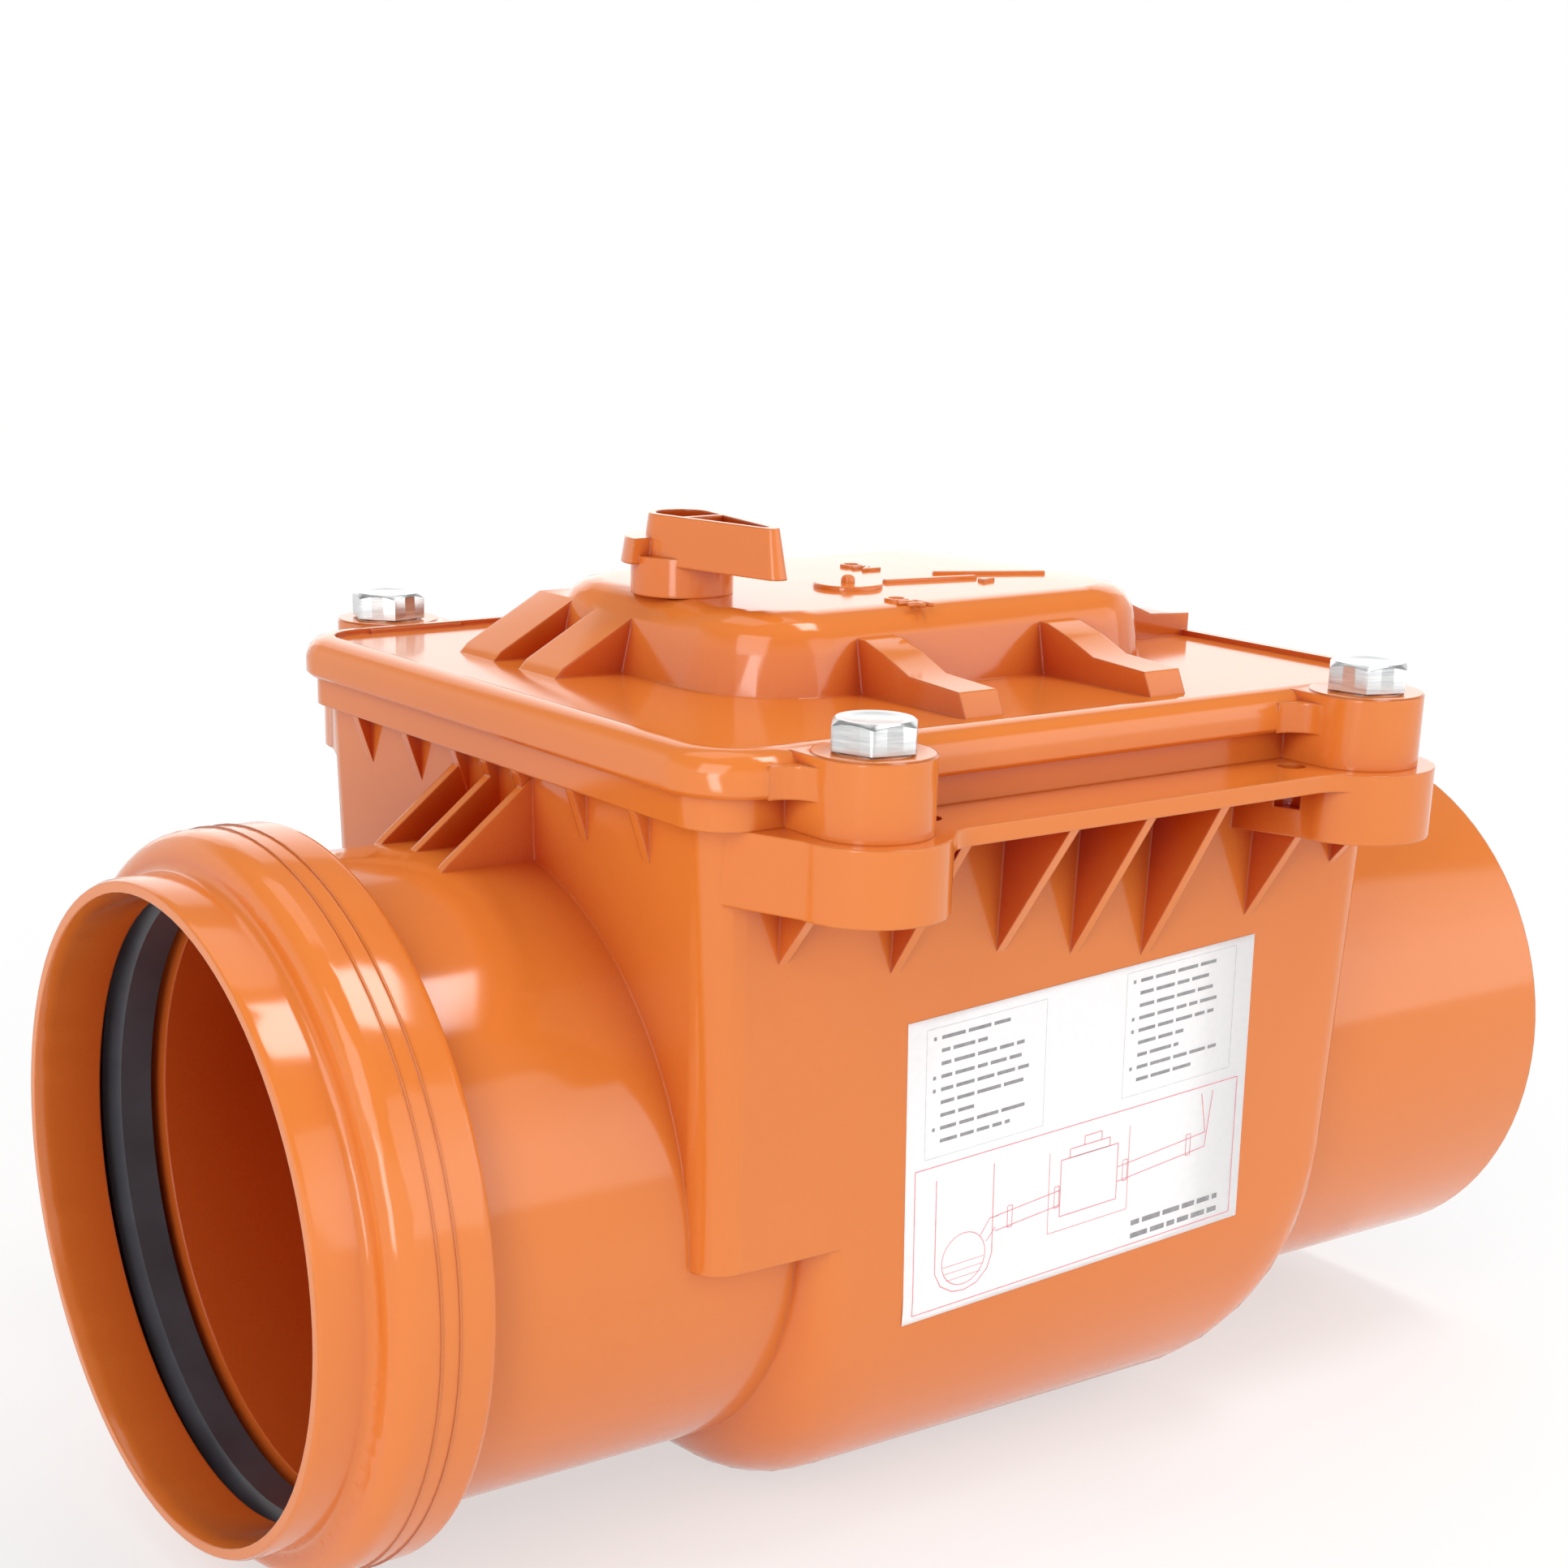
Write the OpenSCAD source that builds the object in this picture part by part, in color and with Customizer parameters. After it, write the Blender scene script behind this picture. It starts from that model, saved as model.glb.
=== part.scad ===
// Backwater valve for a drain pipe: a moulded chamber with a pipe socket at the inlet and a spigot at the
// outlet, a hanging flap on a hinged arm, and a bolted cover with a handle that holds the flap shut.
// X runs with the flow, Z is up, and the origin is under the middle of the chamber.

/* [Pipe connections] */
// Outside diameter of the connecting pipe and of the outlet spigot
pipe_d = 160; // [150:1:165]
// Wall of the outlet spigot
spigot_wall = 4; // [3:0.5:6]
// Distance of the spigot's end from the middle
spigot_end = 210; // [170:1:260]
// Length of the spigot's drafted root beside the chamber
spigot_root = 20; // [19:1:30]
// Room under the spigot down to the underside
floor_room = 14; // [12:0.5:18]
// Rise of the inlet axis above the outlet axis
inlet_rise = 2; // [0:0.5:4]
// Distance of the socket's mouth from the middle
socket_end = 207; // [195:1:250]
// Radial play of a pipe in the socket
socket_play = 0.3; // [0.2:0.05:0.6]
// Wall of the socket
socket_wall = 4.7; // [4:0.1:6]
// Depth to which a pipe goes into the socket
socket_depth = 90; // [75:1:94]
// Chamfer at the socket's mouth
lead_in = 1.4; // [0.5:0.1:2.5]
// Height of the ring bead above the socket
bead_h = 9.5; // [7:0.5:12]
// Distance of the bead from the socket's mouth
bead_start = 14; // [8:1:20]
// Length of the bead along the socket
bead_l = 27; // [22:1:36]
// Height of the pipe's stop at the bottom of the socket
port_step = 5.3; // [4.5:0.1:10]

/* [Chamber] */
// Outer length of the chamber at its rim
chamber_l = 222; // [216:1:240]
// Room beside the spigot out to the chamber's rim
side_room = 16; // [14:0.5:24]
// Wall of the chamber
wall = 4.5; // [3.5:0.5:5.5]
// Draft of the walls in degrees
draft = 1.5; // [0.5:0.25:2]
// Radius of the upright corners
corner_r = 9; // [7:0.5:14]
// Radius between each end wall and the underside
heel_r = 26; // [14:1:32]
// Radius between the side walls and the underside
trough_r = 76; // [60:1:80]
// Room above the spigot up to the seat for the cover
top_room = 28; // [26:0.5:36]
// Height of the rim above that seat
rim_h = 10; // [8:0.5:12]
// Drop of the ledge at the inlet end below the outlet axis
ledge_drop = 3; // [-2:0.5:12]
// Set-back of the inlet wall under the ledge
ledge_step = 32; // [26:1:33]
// Height of the pipe ribs on the chamber's ends
pipe_rib_h = 19; // [12:1:22]
// Length of the pipe ribs along the pipe
pipe_rib_l = 24; // [14:1:28]
// Thickness of the ribs and gussets
rib_t = 3; // [2:0.5:4]
// Depth of the middle side gussets under the web
gusset_drop = 40; // [30:1:50]
// Depth of the small end gussets under the seat
end_gusset_l = 13; // [8:1:16]

/* [Lugs and bolts] */
// Distance of the bolts inside the chamber's ends
bolt_in = 31; // [29:0.5:36]
// Distance of the bolts outside the chamber's sides
bolt_out = 17; // [15:0.5:22]
// Radius of the lugs
lug_r = 19; // [17:0.5:21]
// Height of the lugs
lug_h = 18; // [15:1:22]
// Distance of the web's edge outside the chamber wall
web_reach = 25; // [20:1:28]
// Thickness of the web between the lugs
web_t = 4.5; // [3:0.5:6]
// Radius of the blind holes beside the lugs
core_r = 3.5; // [2.5:0.5:4]
// Distance of the blind holes from the bolts, along the flow
core_dx = 20; // [17:1:24]
// Outer radius of the threaded inserts
insert_r = 8.5; // [7.5:0.25:9.5]
// Length of the threaded inserts
insert_l = 16; // [12:1:17]
// Radius of the bolt shanks
bolt_r = 6; // [5:0.5:6]
// Width of the bolt heads across flats
bolt_af = 19; // [17:0.5:21]
// Height of the bolt heads
bolt_head_h = 7.5; // [6:0.5:10]

/* [Cover] */
// Thickness of the cover's plate
plate_t = 4.5; // [3.5:0.5:6]
// Thickness of the cover's gasket
gasket_t = 2.5; // [1.5:0.5:4]
// Wall of the skirt round the rim
skirt_t = 3.5; // [2.5:0.5:5]
// Gap between the skirt and the rim
skirt_play = 0.5; // [0.3:0.1:1]
// Reach of the lip past the skirt at the ends
lip_x = 3.5; // [2:0.5:6]
// Reach of the lip past the skirt at the sides
lip_y = 5; // [3:0.5:7]
// Height of the lip's lower edge above the seat
lip_z = 8; // [6:0.5:9]
// Height of the lip above the plate
lip_rise = 1.5; // [1:0.25:3]
// Radius of the lip's round edge
lip_edge_r = 5.5; // [3:0.5:6]
// Radius of the cover's corners
lip_corner_r = 20; // [16:1:26]
// Radius of the bolt bosses
boss_r = 14.6; // [13:0.2:17]
// Radial play of the bolts in the cover
bolt_play = 0.5; // [0.3:0.1:1]
// Length of the dome
dome_l = 148; // [140:1:152]
// Width of the dome
dome_w = 110; // [100:1:114]
// Offset of the dome along the flow
dome_x = 6; // [4:0.5:8]
// Offset of the dome across the flow
dome_y = 7; // [0:0.5:8]
// Height of the dome above the plate
dome_h = 20; // [18:1:24]
// Radius of the dome's corners
dome_corner_r = 28; // [22:1:34]
// Radius of the dome's top edge
dome_edge_r = 10; // [6:1:12]

/* [Flap] */
// Distance of the seat in front of the inlet wall's lower face
seat_proud = 5.5; // [5:0.25:7]
// Radial wall of the seat's collar
collar_wall = 9; // [7:0.5:10]
// Depth of the flat on top of the collar
collar_cut = 3; // [2:0.25:4]
// Reach of the rubber ring past the port
seat_overlap = 5; // [4:0.25:6]
// Radial width of the rubber ring
seal_w = 10; // [8:0.5:12]
// Thickness of the rubber ring
seal_t = 8; // [7:0.5:9]
// Thickness of the carrier's disc
carrier_t = 3; // [2.5:0.25:3.5]
// Height of the carrier's ribs above its disc
carrier_rib_h = 6; // [4:0.5:7]
// Number of the carrier's ribs
carrier_ribs = 6; // [4:1:8]
// Inner radius of the windows in the carrier
window_in = 20; // [19:0.5:24]
// Outer radius of the windows in the carrier
window_out = 39; // [32:0.5:42]
// Radius of the small holes in the carrier
vent_r = 2.6; // [2:0.2:3.2]
// Radius of the circle of small holes
vent_pcd_r = 50; // [46:0.5:56]
// Set-back of the steel plate inside the carrier's edge
steel_back = 7; // [5:0.5:12]
// Thickness of the steel plate
steel_t = 1.5; // [1:0.25:2]
// Radius of the flap's stud
stud_r = 4; // [3:0.25:5]

/* [Hinge and arm] */
// Distance of the hinge axis inside the chamber's inlet end
hinge_in = 16; // [14:0.5:18]
// Height of the hinge axis above the collar's flat
hinge_up = 8; // [7.5:0.25:9]
// Radius of the hinge pin
pin_r = 3; // [2.5:0.25:3.5]
// Radius of the arm's knuckle and of the bearing lugs
knuckle_r = 6; // [5:0.25:6.5]
// Width of the arm
arm_w = 15; // [12:0.5:18]
// Thickness of the arm
arm_t = 8; // [6:0.5:9]
// Radius of the boss at the arm's lower end
arm_boss_r = 9; // [8:0.5:10]

/* [Handle] */
// Distance of the spindle from the dome's inlet end
spindle_in = 18; // [17:0.25:20]
// Radius of the spindle
spindle_r = 9; // [8:0.25:10]
// Radius of the neck under the handle
neck_r = 13.5; // [12:0.5:15]
// Height of the neck above the dome
neck_h = 8; // [5:0.5:12]
// Height of the lever
lever_h = 12.5; // [10:0.5:15]
// Distance of the lever's tip from the spindle
lever_l = 44; // [34:1:50]
// Width of the lever
lever_w = 20; // [16:0.5:24]
// Distance of the lock finger from the spindle
finger_x = 20; // [18:0.5:22]
// Width of the lock finger
finger_w = 8; // [6:0.5:9]

/* [Hidden] */

// Shared fits and small values, and how far cuts run past a solid
eps = 0.01;
over = 1;
run_fit = 0.05;
press_fit = 0.02;
face_gap = 0.3;
side_gap = 0.5;
fine = 96;
soft = 32;
corner_steps = 8;
trough_steps = 10;
tan_draft = tan(draft);

// Pipework
spigot_r = pipe_d / 2;
root_gain = 0.8;
socket_r = spigot_r + socket_play;
socket_out_r = socket_r + socket_wall;
bead_r = socket_out_r + bead_h;
groove_r = bead_r - socket_wall;
outlet_z = spigot_r + floor_room;
inlet_z = outlet_z + inlet_rise;
port_r = socket_r - port_step;
bead_x0 = -socket_end + bead_start;
bead_x1 = bead_x0 + bead_l;
bead_front_r = bead_h * 0.72;
bead_back_r = bead_h * 0.3;
bead_slope = bead_h * 0.7;
bead_line = 0.4;
bead_lines = [0.42, 0.6];
stop_x = -socket_end + socket_depth;
seal_lip_play = 0.3;

// Chamber
seat_z = outlet_z + spigot_r + top_room;
rim_z = seat_z + rim_h;
ledge_z = outlet_z - ledge_drop;
end_x = chamber_l / 2;
side_y = spigot_r + side_room;
low_end_x = end_x - ledge_step;
function lean(z) = (rim_z - z) * tan_draft;
function wall_x(z) = end_x - lean(z);
function wall_y(z) = side_y - lean(z);
flap_seat_x = -low_end_x + lean(inlet_z) + wall + seat_proud;
collar_r = port_r + collar_wall;
collar_flat = collar_r - collar_cut;
seal_r = port_r + seat_overlap;

// Flap, counted along X from the seat
seal_x = flap_seat_x + face_gap;
groove_play = 0.1;
carrier_x = seal_x + (seal_t - carrier_t) / 2;
carrier_r = seal_r - seal_w * 0.7;
steel_r = carrier_r - steel_back;
carrier_top_x = carrier_x + carrier_t + carrier_rib_h;
hub_ring_r = window_in - 3;
hub_ring_t = 2;
carrier_rib_t = 2;
carrier_rim = 6;
seal_dip_r = 1.6;
vent_spread = 0.27;
stud_head_r = stud_r + 5;
stud_head_t = 2.5;
stud_edge = 1;
stud_proud = 1.2;

// Hinge and arm
hinge_x = -end_x + hinge_in;
hinge_z = inlet_z + collar_flat + hinge_up;
leg_x0 = carrier_top_x + 1;
leg_x1 = leg_x0 + arm_t + 2;
arm_rib_h = 1.5;
arm_boss_back = 3;
arm_crown = 2;
block_lug_w = 8;
block_w = arm_w + 2 * (block_lug_w + 2 * side_gap);
block_t = 4;
block_bar_h = 5;
block_bar_t = 4;
block_ear_h = 3;
block_below_rim = 8;
rail_t = 9;
rail_depth = 12;
rail_step = 5;
rail_sink = 2;
rail_below_rim = 4;

// Cover
plate_z = rim_z + gasket_t;
plate_top = plate_z + plate_t;
lip_top = plate_top + lip_rise;
skirt_x = end_x + skirt_play + skirt_t;
skirt_y = side_y + skirt_play + skirt_t;
skirt_corner_r = corner_r + skirt_play + skirt_t;
lip_half_x = skirt_x + lip_x;
lip_half_y = skirt_y + lip_y;
lip_w = 8;
dome_top = plate_top + dome_h;
bolt_x = end_x - bolt_in;
bolt_y = side_y + bolt_out;
bolt_tip_z = seat_z - lug_h - over;
core_l = lug_h * 0.6;
core_back = core_r + over;

// Handle and lock
spindle_x = dome_l / 2 - dome_x - spindle_in;
guide_l = 12;
guide_r = spindle_r + 4.5;
guide_z = dome_top - plate_t - guide_l;
lever_z = dome_top + neck_h;
lever_back_r = lever_w / 2 + 0.6;
lever_draft = 1.6;
lever_wall = 1.8;
lever_floor = 4;
tip_r = 3;
half_collar_r = neck_r + 2.6;
clip_t = 1.2;
clip_z = guide_z - 2 * clip_t;
clip_in_r = spindle_r - 2;
clip_out_r = spindle_r + 3;
clip_mouth = 4;
ring_wire_r = 1.3;
ring_z = guide_z + guide_l / 2;
screw_r = stud_r / 2;
hub_top = plate_z - side_gap;
finger_bar_t = 4.5;
finger_l = 8;
hub_z = hub_top - finger_bar_t;
finger_tip_z = hinge_z + arm_t / 2 + 0.6;
drive_w = spindle_r * 1.1;
drive_step = 2;

// Plain shapes

// A rectangle with round corners, centred
module round_rect(l, w, r) {
    square([l - 2 * r, w], center = true);
    square([l, w - 2 * r], center = true);
    for (sx = [-1, 1], sy = [-1, 1])
        translate([sx * (l / 2 - r), sy * (w / 2 - r)]) circle(r, $fn = fine);
}

// Points round such a rectangle at one height
function rect_ring(l, w, r, z) = [
    for (c = [0 : 3], i = [0 : corner_steps])
        let (
            a = 90 * (c + i / corner_steps),
            sx = c == 0 || c == 3 ? 1 : -1,
            sy = c < 2 ? 1 : -1
        )
        [sx * (l / 2 - r) + r * cos(a), sy * (w / 2 - r) + r * sin(a), z]
];

// A solid skinned over rings of points that lie one after another
module loft(rings) {
    n = len(rings[0]);
    last = (len(rings) - 1) * n;
    sides = [
        for (j = [0 : n : last - n], i = [0 : n - 1])
            let (k = (i + 1) % n)
            [j + i, j + n + i, j + n + k, j + k]
    ];
    caps = [[for (i = [0 : n - 1]) i], [for (i = [n - 1 : -1 : 0]) last + i]];
    polyhedron([for (ring = rings) each ring], concat(sides, caps));
}

// A ring or disc turned about an axis along X at one height, from a profile of radius and X
module turned(z = inlet_z) {
    translate([0, 0, z]) rotate([0, 90, 0]) rotate_extrude($fn = fine) children();
}

// A flat plate standing across Y, from a profile of X and Z
module upright(y, t) {
    translate([0, y + t / 2, 0]) rotate([90, 0, 0]) linear_extrude(t) children();
}

// A flat plate standing across X, from a profile of Y and Z
module across(x, t) {
    translate([x - t / 2, 0, 0]) rotate([90, 0, 90]) linear_extrude(t) children();
}

module at_bolts() {
    for (sx = [-1, 1], sy = [-1, 1]) translate([sx * bolt_x, sy * bolt_y, 0]) children();
}

// Chamber

// Half of the chamber's cross-section, set in at the side and at the bottom
function half_section(set_side, set_low, r, top) =
    let (
        cy = side_y - set_side - (r + (rim_z - set_low - r) * sin(draft)) / cos(draft)
    )
    concat(
        [
            for (i = [0 : trough_steps])
                let (a = -90 + (90 - draft) * i / trough_steps)
                [cy + r * cos(a), set_low + r + r * sin(a)]
        ],
        [[side_y - set_side + (top - rim_z) * tan_draft, top]]
    );

function mirrored(points) = [for (i = [len(points) - 1 : -1 : 0]) [-points[i][0], points[i][1]]];

// How far a round edge of radius r has drawn in at distance t from its end
function drawn_in(r, t) = t >= r ? 0 : r - sqrt(r * r - (r - t) * (r - t));

// Points round the chamber at distance t from an end wall, leaning with that wall
function chamber_ring(x, toward, t, cr, hr, inset, top) =
    let (
        half = half_section(inset + drawn_in(cr, t), inset + drawn_in(hr, t), trough_r - inset, top)
    )
    [for (p = concat(half, mirrored(half))) [x + toward * (inset + t + lean(p[1])), p[0], p[1]]];

// The chamber from one end wall to the other, with every face set in by the same amount
module chamber_block(x0, x1, inset, top) {
    cr = corner_r - min(inset, corner_r - 2);
    hr = max(heel_r - inset, cr + 1);
    steps = concat(
        [for (s = [0, 0.08, 0.3, 0.62, 1]) s * cr],
        [for (s = [0.25, 0.6, 1]) cr + s * (hr - cr)]
    );
    n = len(steps);
    loft(concat(
        [for (t = steps) chamber_ring(x0, 1, t, cr, hr, inset, top)],
        [for (i = [n - 1 : -1 : 0]) chamber_ring(x1, -1, steps[i], cr, hr, inset, top)]
    ));
}

// Everything between two heights
module between(z0, z1) {
    translate([-2 * end_x, -2 * side_y, z0]) cube([4 * end_x, 4 * side_y, z1 - z0]);
}

// The long upper chamber on the shorter trough, which meet at the ledge
module chamber(inset, top) {
    intersection() {
        chamber_block(-end_x, end_x, inset, top);
        between(ledge_z + inset, 2 * rim_z);
    }
    intersection() {
        chamber_block(-low_end_x, end_x, inset, top);
        between(-rim_z, ledge_z + inset);
    }
}

// Half-section of the ring bead: a round front with a hollow at its foot, a flat top and a steep back
module bead_outline() {
    front = bead_x0 + bead_front_r;
    translate([socket_r, front]) square([bead_r - socket_r - bead_front_r, bead_l - bead_front_r]);
    translate([socket_r, front]) square([bead_r - socket_r, bead_l - bead_front_r - bead_back_r]);
    translate([socket_r, bead_x0]) square([bead_r - socket_r - bead_front_r, bead_front_r + over]);
    translate([bead_r - bead_front_r, front]) circle(bead_front_r, $fn = fine);
    translate([bead_r - bead_back_r, bead_x1 - bead_back_r]) circle(bead_back_r, $fn = soft);
    difference() {
        translate([socket_r, bead_x0 - bead_back_r])
            square([socket_out_r - socket_r + bead_back_r, bead_back_r + over]);
        translate([socket_out_r + bead_back_r, bead_x0 - bead_back_r]) circle(bead_back_r, $fn = soft);
    }
    for (s = bead_lines) translate([socket_r, bead_x0 + bead_l * s])
        square([bead_r - socket_r + bead_line, bead_line]);
}

// Outside of the socket with its ring bead, and the neck behind it
module inlet_outside() {
    turned() {
        polygon([
            [0, -socket_end],
            [socket_out_r - lead_in / 2, -socket_end],
            [socket_out_r, -socket_end + lead_in],
            [socket_out_r, flap_seat_x - seat_proud],
            [0, flap_seat_x - seat_proud]
        ]);
        bead_outline();
    }
}

// Room inside the socket, with the groove for its seal and the port behind it
module inlet_inside() {
    turned() polygon([
        [0, -socket_end - over],
        [socket_r + lead_in, -socket_end - over],
        [socket_r + lead_in, -socket_end],
        [socket_r, -socket_end + 3 * lead_in],
        [socket_r, bead_x0 + bead_slope * 0.6],
        [groove_r, bead_x0 + bead_slope],
        [groove_r, bead_x1 - bead_slope],
        [socket_r, bead_x1 - bead_slope * 0.6],
        [socket_r, stop_x],
        [port_r, stop_x],
        [port_r, flap_seat_x + over],
        [0, flap_seat_x + over]
    ]);
}

module collar() {
    intersection() {
        turned() translate([0, -end_x + wall / 2]) square([collar_r, flap_seat_x + end_x - wall / 2]);
        between(0, inlet_z + collar_flat);
    }
}

// The spigot is drafted at its root and straight where a pipe goes over it
module spigot_outside() {
    turned(outlet_z) polygon([
        [0, low_end_x],
        [spigot_r + root_gain, low_end_x],
        [spigot_r, end_x + spigot_root],
        [spigot_r, spigot_end],
        [0, spigot_end]
    ]);
}

module spigot_inside() {
    turned(outlet_z) translate([0, low_end_x]) square([spigot_r - spigot_wall, spigot_end]);
}

// A hollow corner of radius r between two edges that run along +X and +Y from the origin
module hollow_corner(r) {
    difference() {
        translate([-over, -over]) square(r + over);
        translate([r, r]) circle(r, $fn = fine);
    }
}

// Outline of one lug with its flare to the wall, centred on its bolt
module lug_outline() {
    wall_gap = bolt_y - side_y + wall;
    flare = lug_r * 0.45;
    circle(lug_r, $fn = fine);
    polygon([[-lug_r, 0], [lug_r, 0], [lug_r + flare, -wall_gap], [-lug_r - flare, -wall_gap]]);
}

module lugs_and_webs() {
    for (sy = [0, 1]) mirror([0, sy, 0]) {
        for (sx = [-1, 1]) translate([sx * bolt_x, bolt_y, seat_z - lug_h])
            linear_extrude(lug_h) lug_outline();
        translate([-bolt_x, side_y - wall, seat_z - web_t]) cube([2 * bolt_x, web_reach + wall, web_t]);
        for (sx = [0, 1]) mirror([sx, 0, 0]) translate([bolt_x, 0, seat_z - web_t])
            linear_extrude(web_t) web_blend();
    }
}

// Hollow blend from a lug's round end into the web's straight edge
web_blend_r = 11;

module web_blend() {
    edge_y = side_y + web_reach;
    reach = lug_r + web_blend_r;
    up = edge_y + web_blend_r - bolt_y;
    along = sqrt(reach * reach - up * up);
    difference() {
        polygon([
            [-along, edge_y - web_t],
            [0, edge_y - web_t],
            [-along * lug_r / reach, bolt_y + up * lug_r / reach],
            [-along, edge_y]
        ]);
        translate([-along, edge_y + web_blend_r]) circle(web_blend_r, $fn = fine);
    }
}

// Where the gussets stand along each side, how far they reach out and how far down the wall they run
lug_gusset_x = lug_r * 0.85;
side_gussets = [
    [-bolt_x - lug_gusset_x * 0.6, lug_h + gusset_drop * 0.4],
    [-bolt_x + lug_gusset_x * 1.5, lug_h + gusset_drop * 0.58],
    [-bolt_x * 0.28, web_t + gusset_drop * 0.9],
    [bolt_x * 0.03, web_t + gusset_drop],
    [bolt_x * 0.34, web_t + gusset_drop * 1.1],
    [bolt_x - lug_gusset_x, lug_h + gusset_drop * 0.62],
    [bolt_x + lug_gusset_x * 0.9, lug_h + gusset_drop * 0.35]
];

module side_gusset_plates() {
    for (sy = [0, 1], g = side_gussets) mirror([0, sy, 0])
        across(g[0], rib_t) polygon([
            [side_y - wall, seat_z - web_t / 2],
            [side_y + web_reach - web_t / 2, seat_z - web_t / 2],
            [side_y + web_reach - web_t / 2, seat_z - web_t],
            [wall_y(seat_z - g[1]), seat_z - g[1]],
            [side_y - wall, seat_z - g[1]]
        ]);
}

// Small gussets under the cover's skirt at both ends
end_gusset_y = [for (s = [-0.85, -0.51, -0.19, 0, 0.19, 0.51, 0.85]) s * spigot_r];

module end_gusset_plates() {
    for (sx = [0, 1], y = end_gusset_y) mirror([sx, 0, 0])
        upright(y, rib_t) polygon([
            [end_x - wall, seat_z],
            [skirt_x, seat_z],
            [wall_x(seat_z - end_gusset_l), seat_z - end_gusset_l],
            [end_x - wall, seat_z - end_gusset_l]
        ]);
}

// Ribs between the pipes and the end walls, the outlet's middle one higher than its neighbours
pipe_rib_y = [-16, 0, 16];
out_rib_gain = [0.8, 1.1, 0.8];

module pipe_ribs() {
    in_top = inlet_z + socket_out_r;
    out_top = outlet_z + spigot_r;
    out_l = pipe_rib_l / 2;
    for (k = [0 : len(pipe_rib_y) - 1]) {
        out_h = pipe_rib_h * out_rib_gain[k];
        upright(pipe_rib_y[k], rib_t) polygon([
            [-end_x + wall, in_top - wall],
            [-end_x - pipe_rib_l - wall, in_top - wall],
            [-end_x - pipe_rib_l, in_top],
            [-wall_x(in_top + pipe_rib_h), in_top + pipe_rib_h],
            [-end_x + wall, in_top + pipe_rib_h]
        ]);
        upright(pipe_rib_y[k], rib_t) polygon([
            [end_x - wall, out_top - wall],
            [end_x + out_l + wall, out_top - wall],
            [end_x + out_l, out_top],
            [wall_x(out_top + out_h), out_top + out_h],
            [end_x - wall, out_top + out_h]
        ]);
    }
}

// Two upright rails on the inlet wall that take the hinge block, each stepped at its top
module hinge_rails() {
    rail_z = inlet_z + collar_flat - rail_sink;
    rail_l = rim_z - rail_below_rim - rail_z;
    for (sy = [0, 1]) mirror([0, sy, 0])
        translate([-end_x + wall / 2, block_w / 2 + side_gap / 2, rail_z]) {
            cube([rail_depth, rail_t, rail_l - rail_step]);
            cube([rail_depth - rail_step, rail_t, rail_l]);
        }
}

// Holes for the inserts and their bolts, and a blind hole beside each lug
module lug_holes() {
    at_bolts() {
        translate([0, 0, seat_z - insert_l]) cylinder(r = insert_r, h = insert_l + over, $fn = fine);
        translate([0, 0, seat_z - lug_h - over]) cylinder(r = bolt_r + bolt_play, h = lug_h, $fn = fine);
    }
    for (sx = [-1, 1], sy = [-1, 1])
        translate([sx * (bolt_x - core_dx), sy * (bolt_y - core_back), seat_z - core_l])
            cylinder(r = core_r, h = core_l + over, $fn = fine);
}

module valve_body() {
    color("#d9702e") difference() {
        union() {
            difference() {
                union() {
                    chamber(0, rim_z);
                    inlet_outside();
                    spigot_outside();
                    lugs_and_webs();
                    side_gusset_plates();
                    end_gusset_plates();
                    pipe_ribs();
                }
                chamber(wall, rim_z + over);
            }
            collar();
            hinge_rails();
        }
        inlet_inside();
        spigot_inside();
        lug_holes();
    }
}

module threaded_inserts() {
    color("#c9a74a") at_bolts() translate([0, 0, seat_z - insert_l]) difference() {
        cylinder(r = insert_r - press_fit, h = insert_l, $fn = fine);
        translate([0, 0, -over]) cylinder(r = bolt_r + run_fit, h = insert_l + 2 * over, $fn = fine);
    }
}

// Rubber ring in the bead's groove, with a lip that leans to the back of the socket
module socket_seal() {
    lip_r = socket_r + seal_lip_play;
    front = bead_x0 + bead_slope + face_gap;
    back = bead_x1 - bead_slope - face_gap;
    color("#22252a") turned() polygon([
        [groove_r - face_gap, front],
        [groove_r - face_gap, back],
        [groove_r - bead_h * 0.35, back],
        [lip_r, back - over],
        [lip_r, front + bead_slope / 2],
        [groove_r - bead_h * 0.45, front]
    ]);
}

// Hinge and arm

// A round bar or hole across the chamber at the hinge's axis
module cross_pin(r, w) {
    translate([hinge_x, w / 2, hinge_z]) rotate([90, 0, 0]) cylinder(r = r, h = w, $fn = fine);
}

// Bearing lugs beside the arm: square-topped hooks with a round nose below, and ears behind them
module hinge_lugs(plate_x, foot_z) {
    lug_y = arm_w / 2 + side_gap;
    outer_w = 2 * (lug_y + block_lug_w);
    root_l = hinge_x - plate_x;
    difference() {
        union() {
            cross_pin(knuckle_r, outer_w);
            translate([plate_x - eps, -outer_w / 2, hinge_z - knuckle_r])
                cube([root_l + eps, outer_w, 2 * knuckle_r]);
            translate([hinge_x - eps, -outer_w / 2, hinge_z]) cube([knuckle_r, outer_w, knuckle_r]);
            translate([plate_x - eps, -outer_w / 2, hinge_z])
                cube([root_l - over, outer_w, knuckle_r + block_ear_h]);
        }
        translate([plate_x, -lug_y, foot_z]) cube([2 * hinge_in, 2 * lug_y, rim_z]);
    }
}

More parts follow.
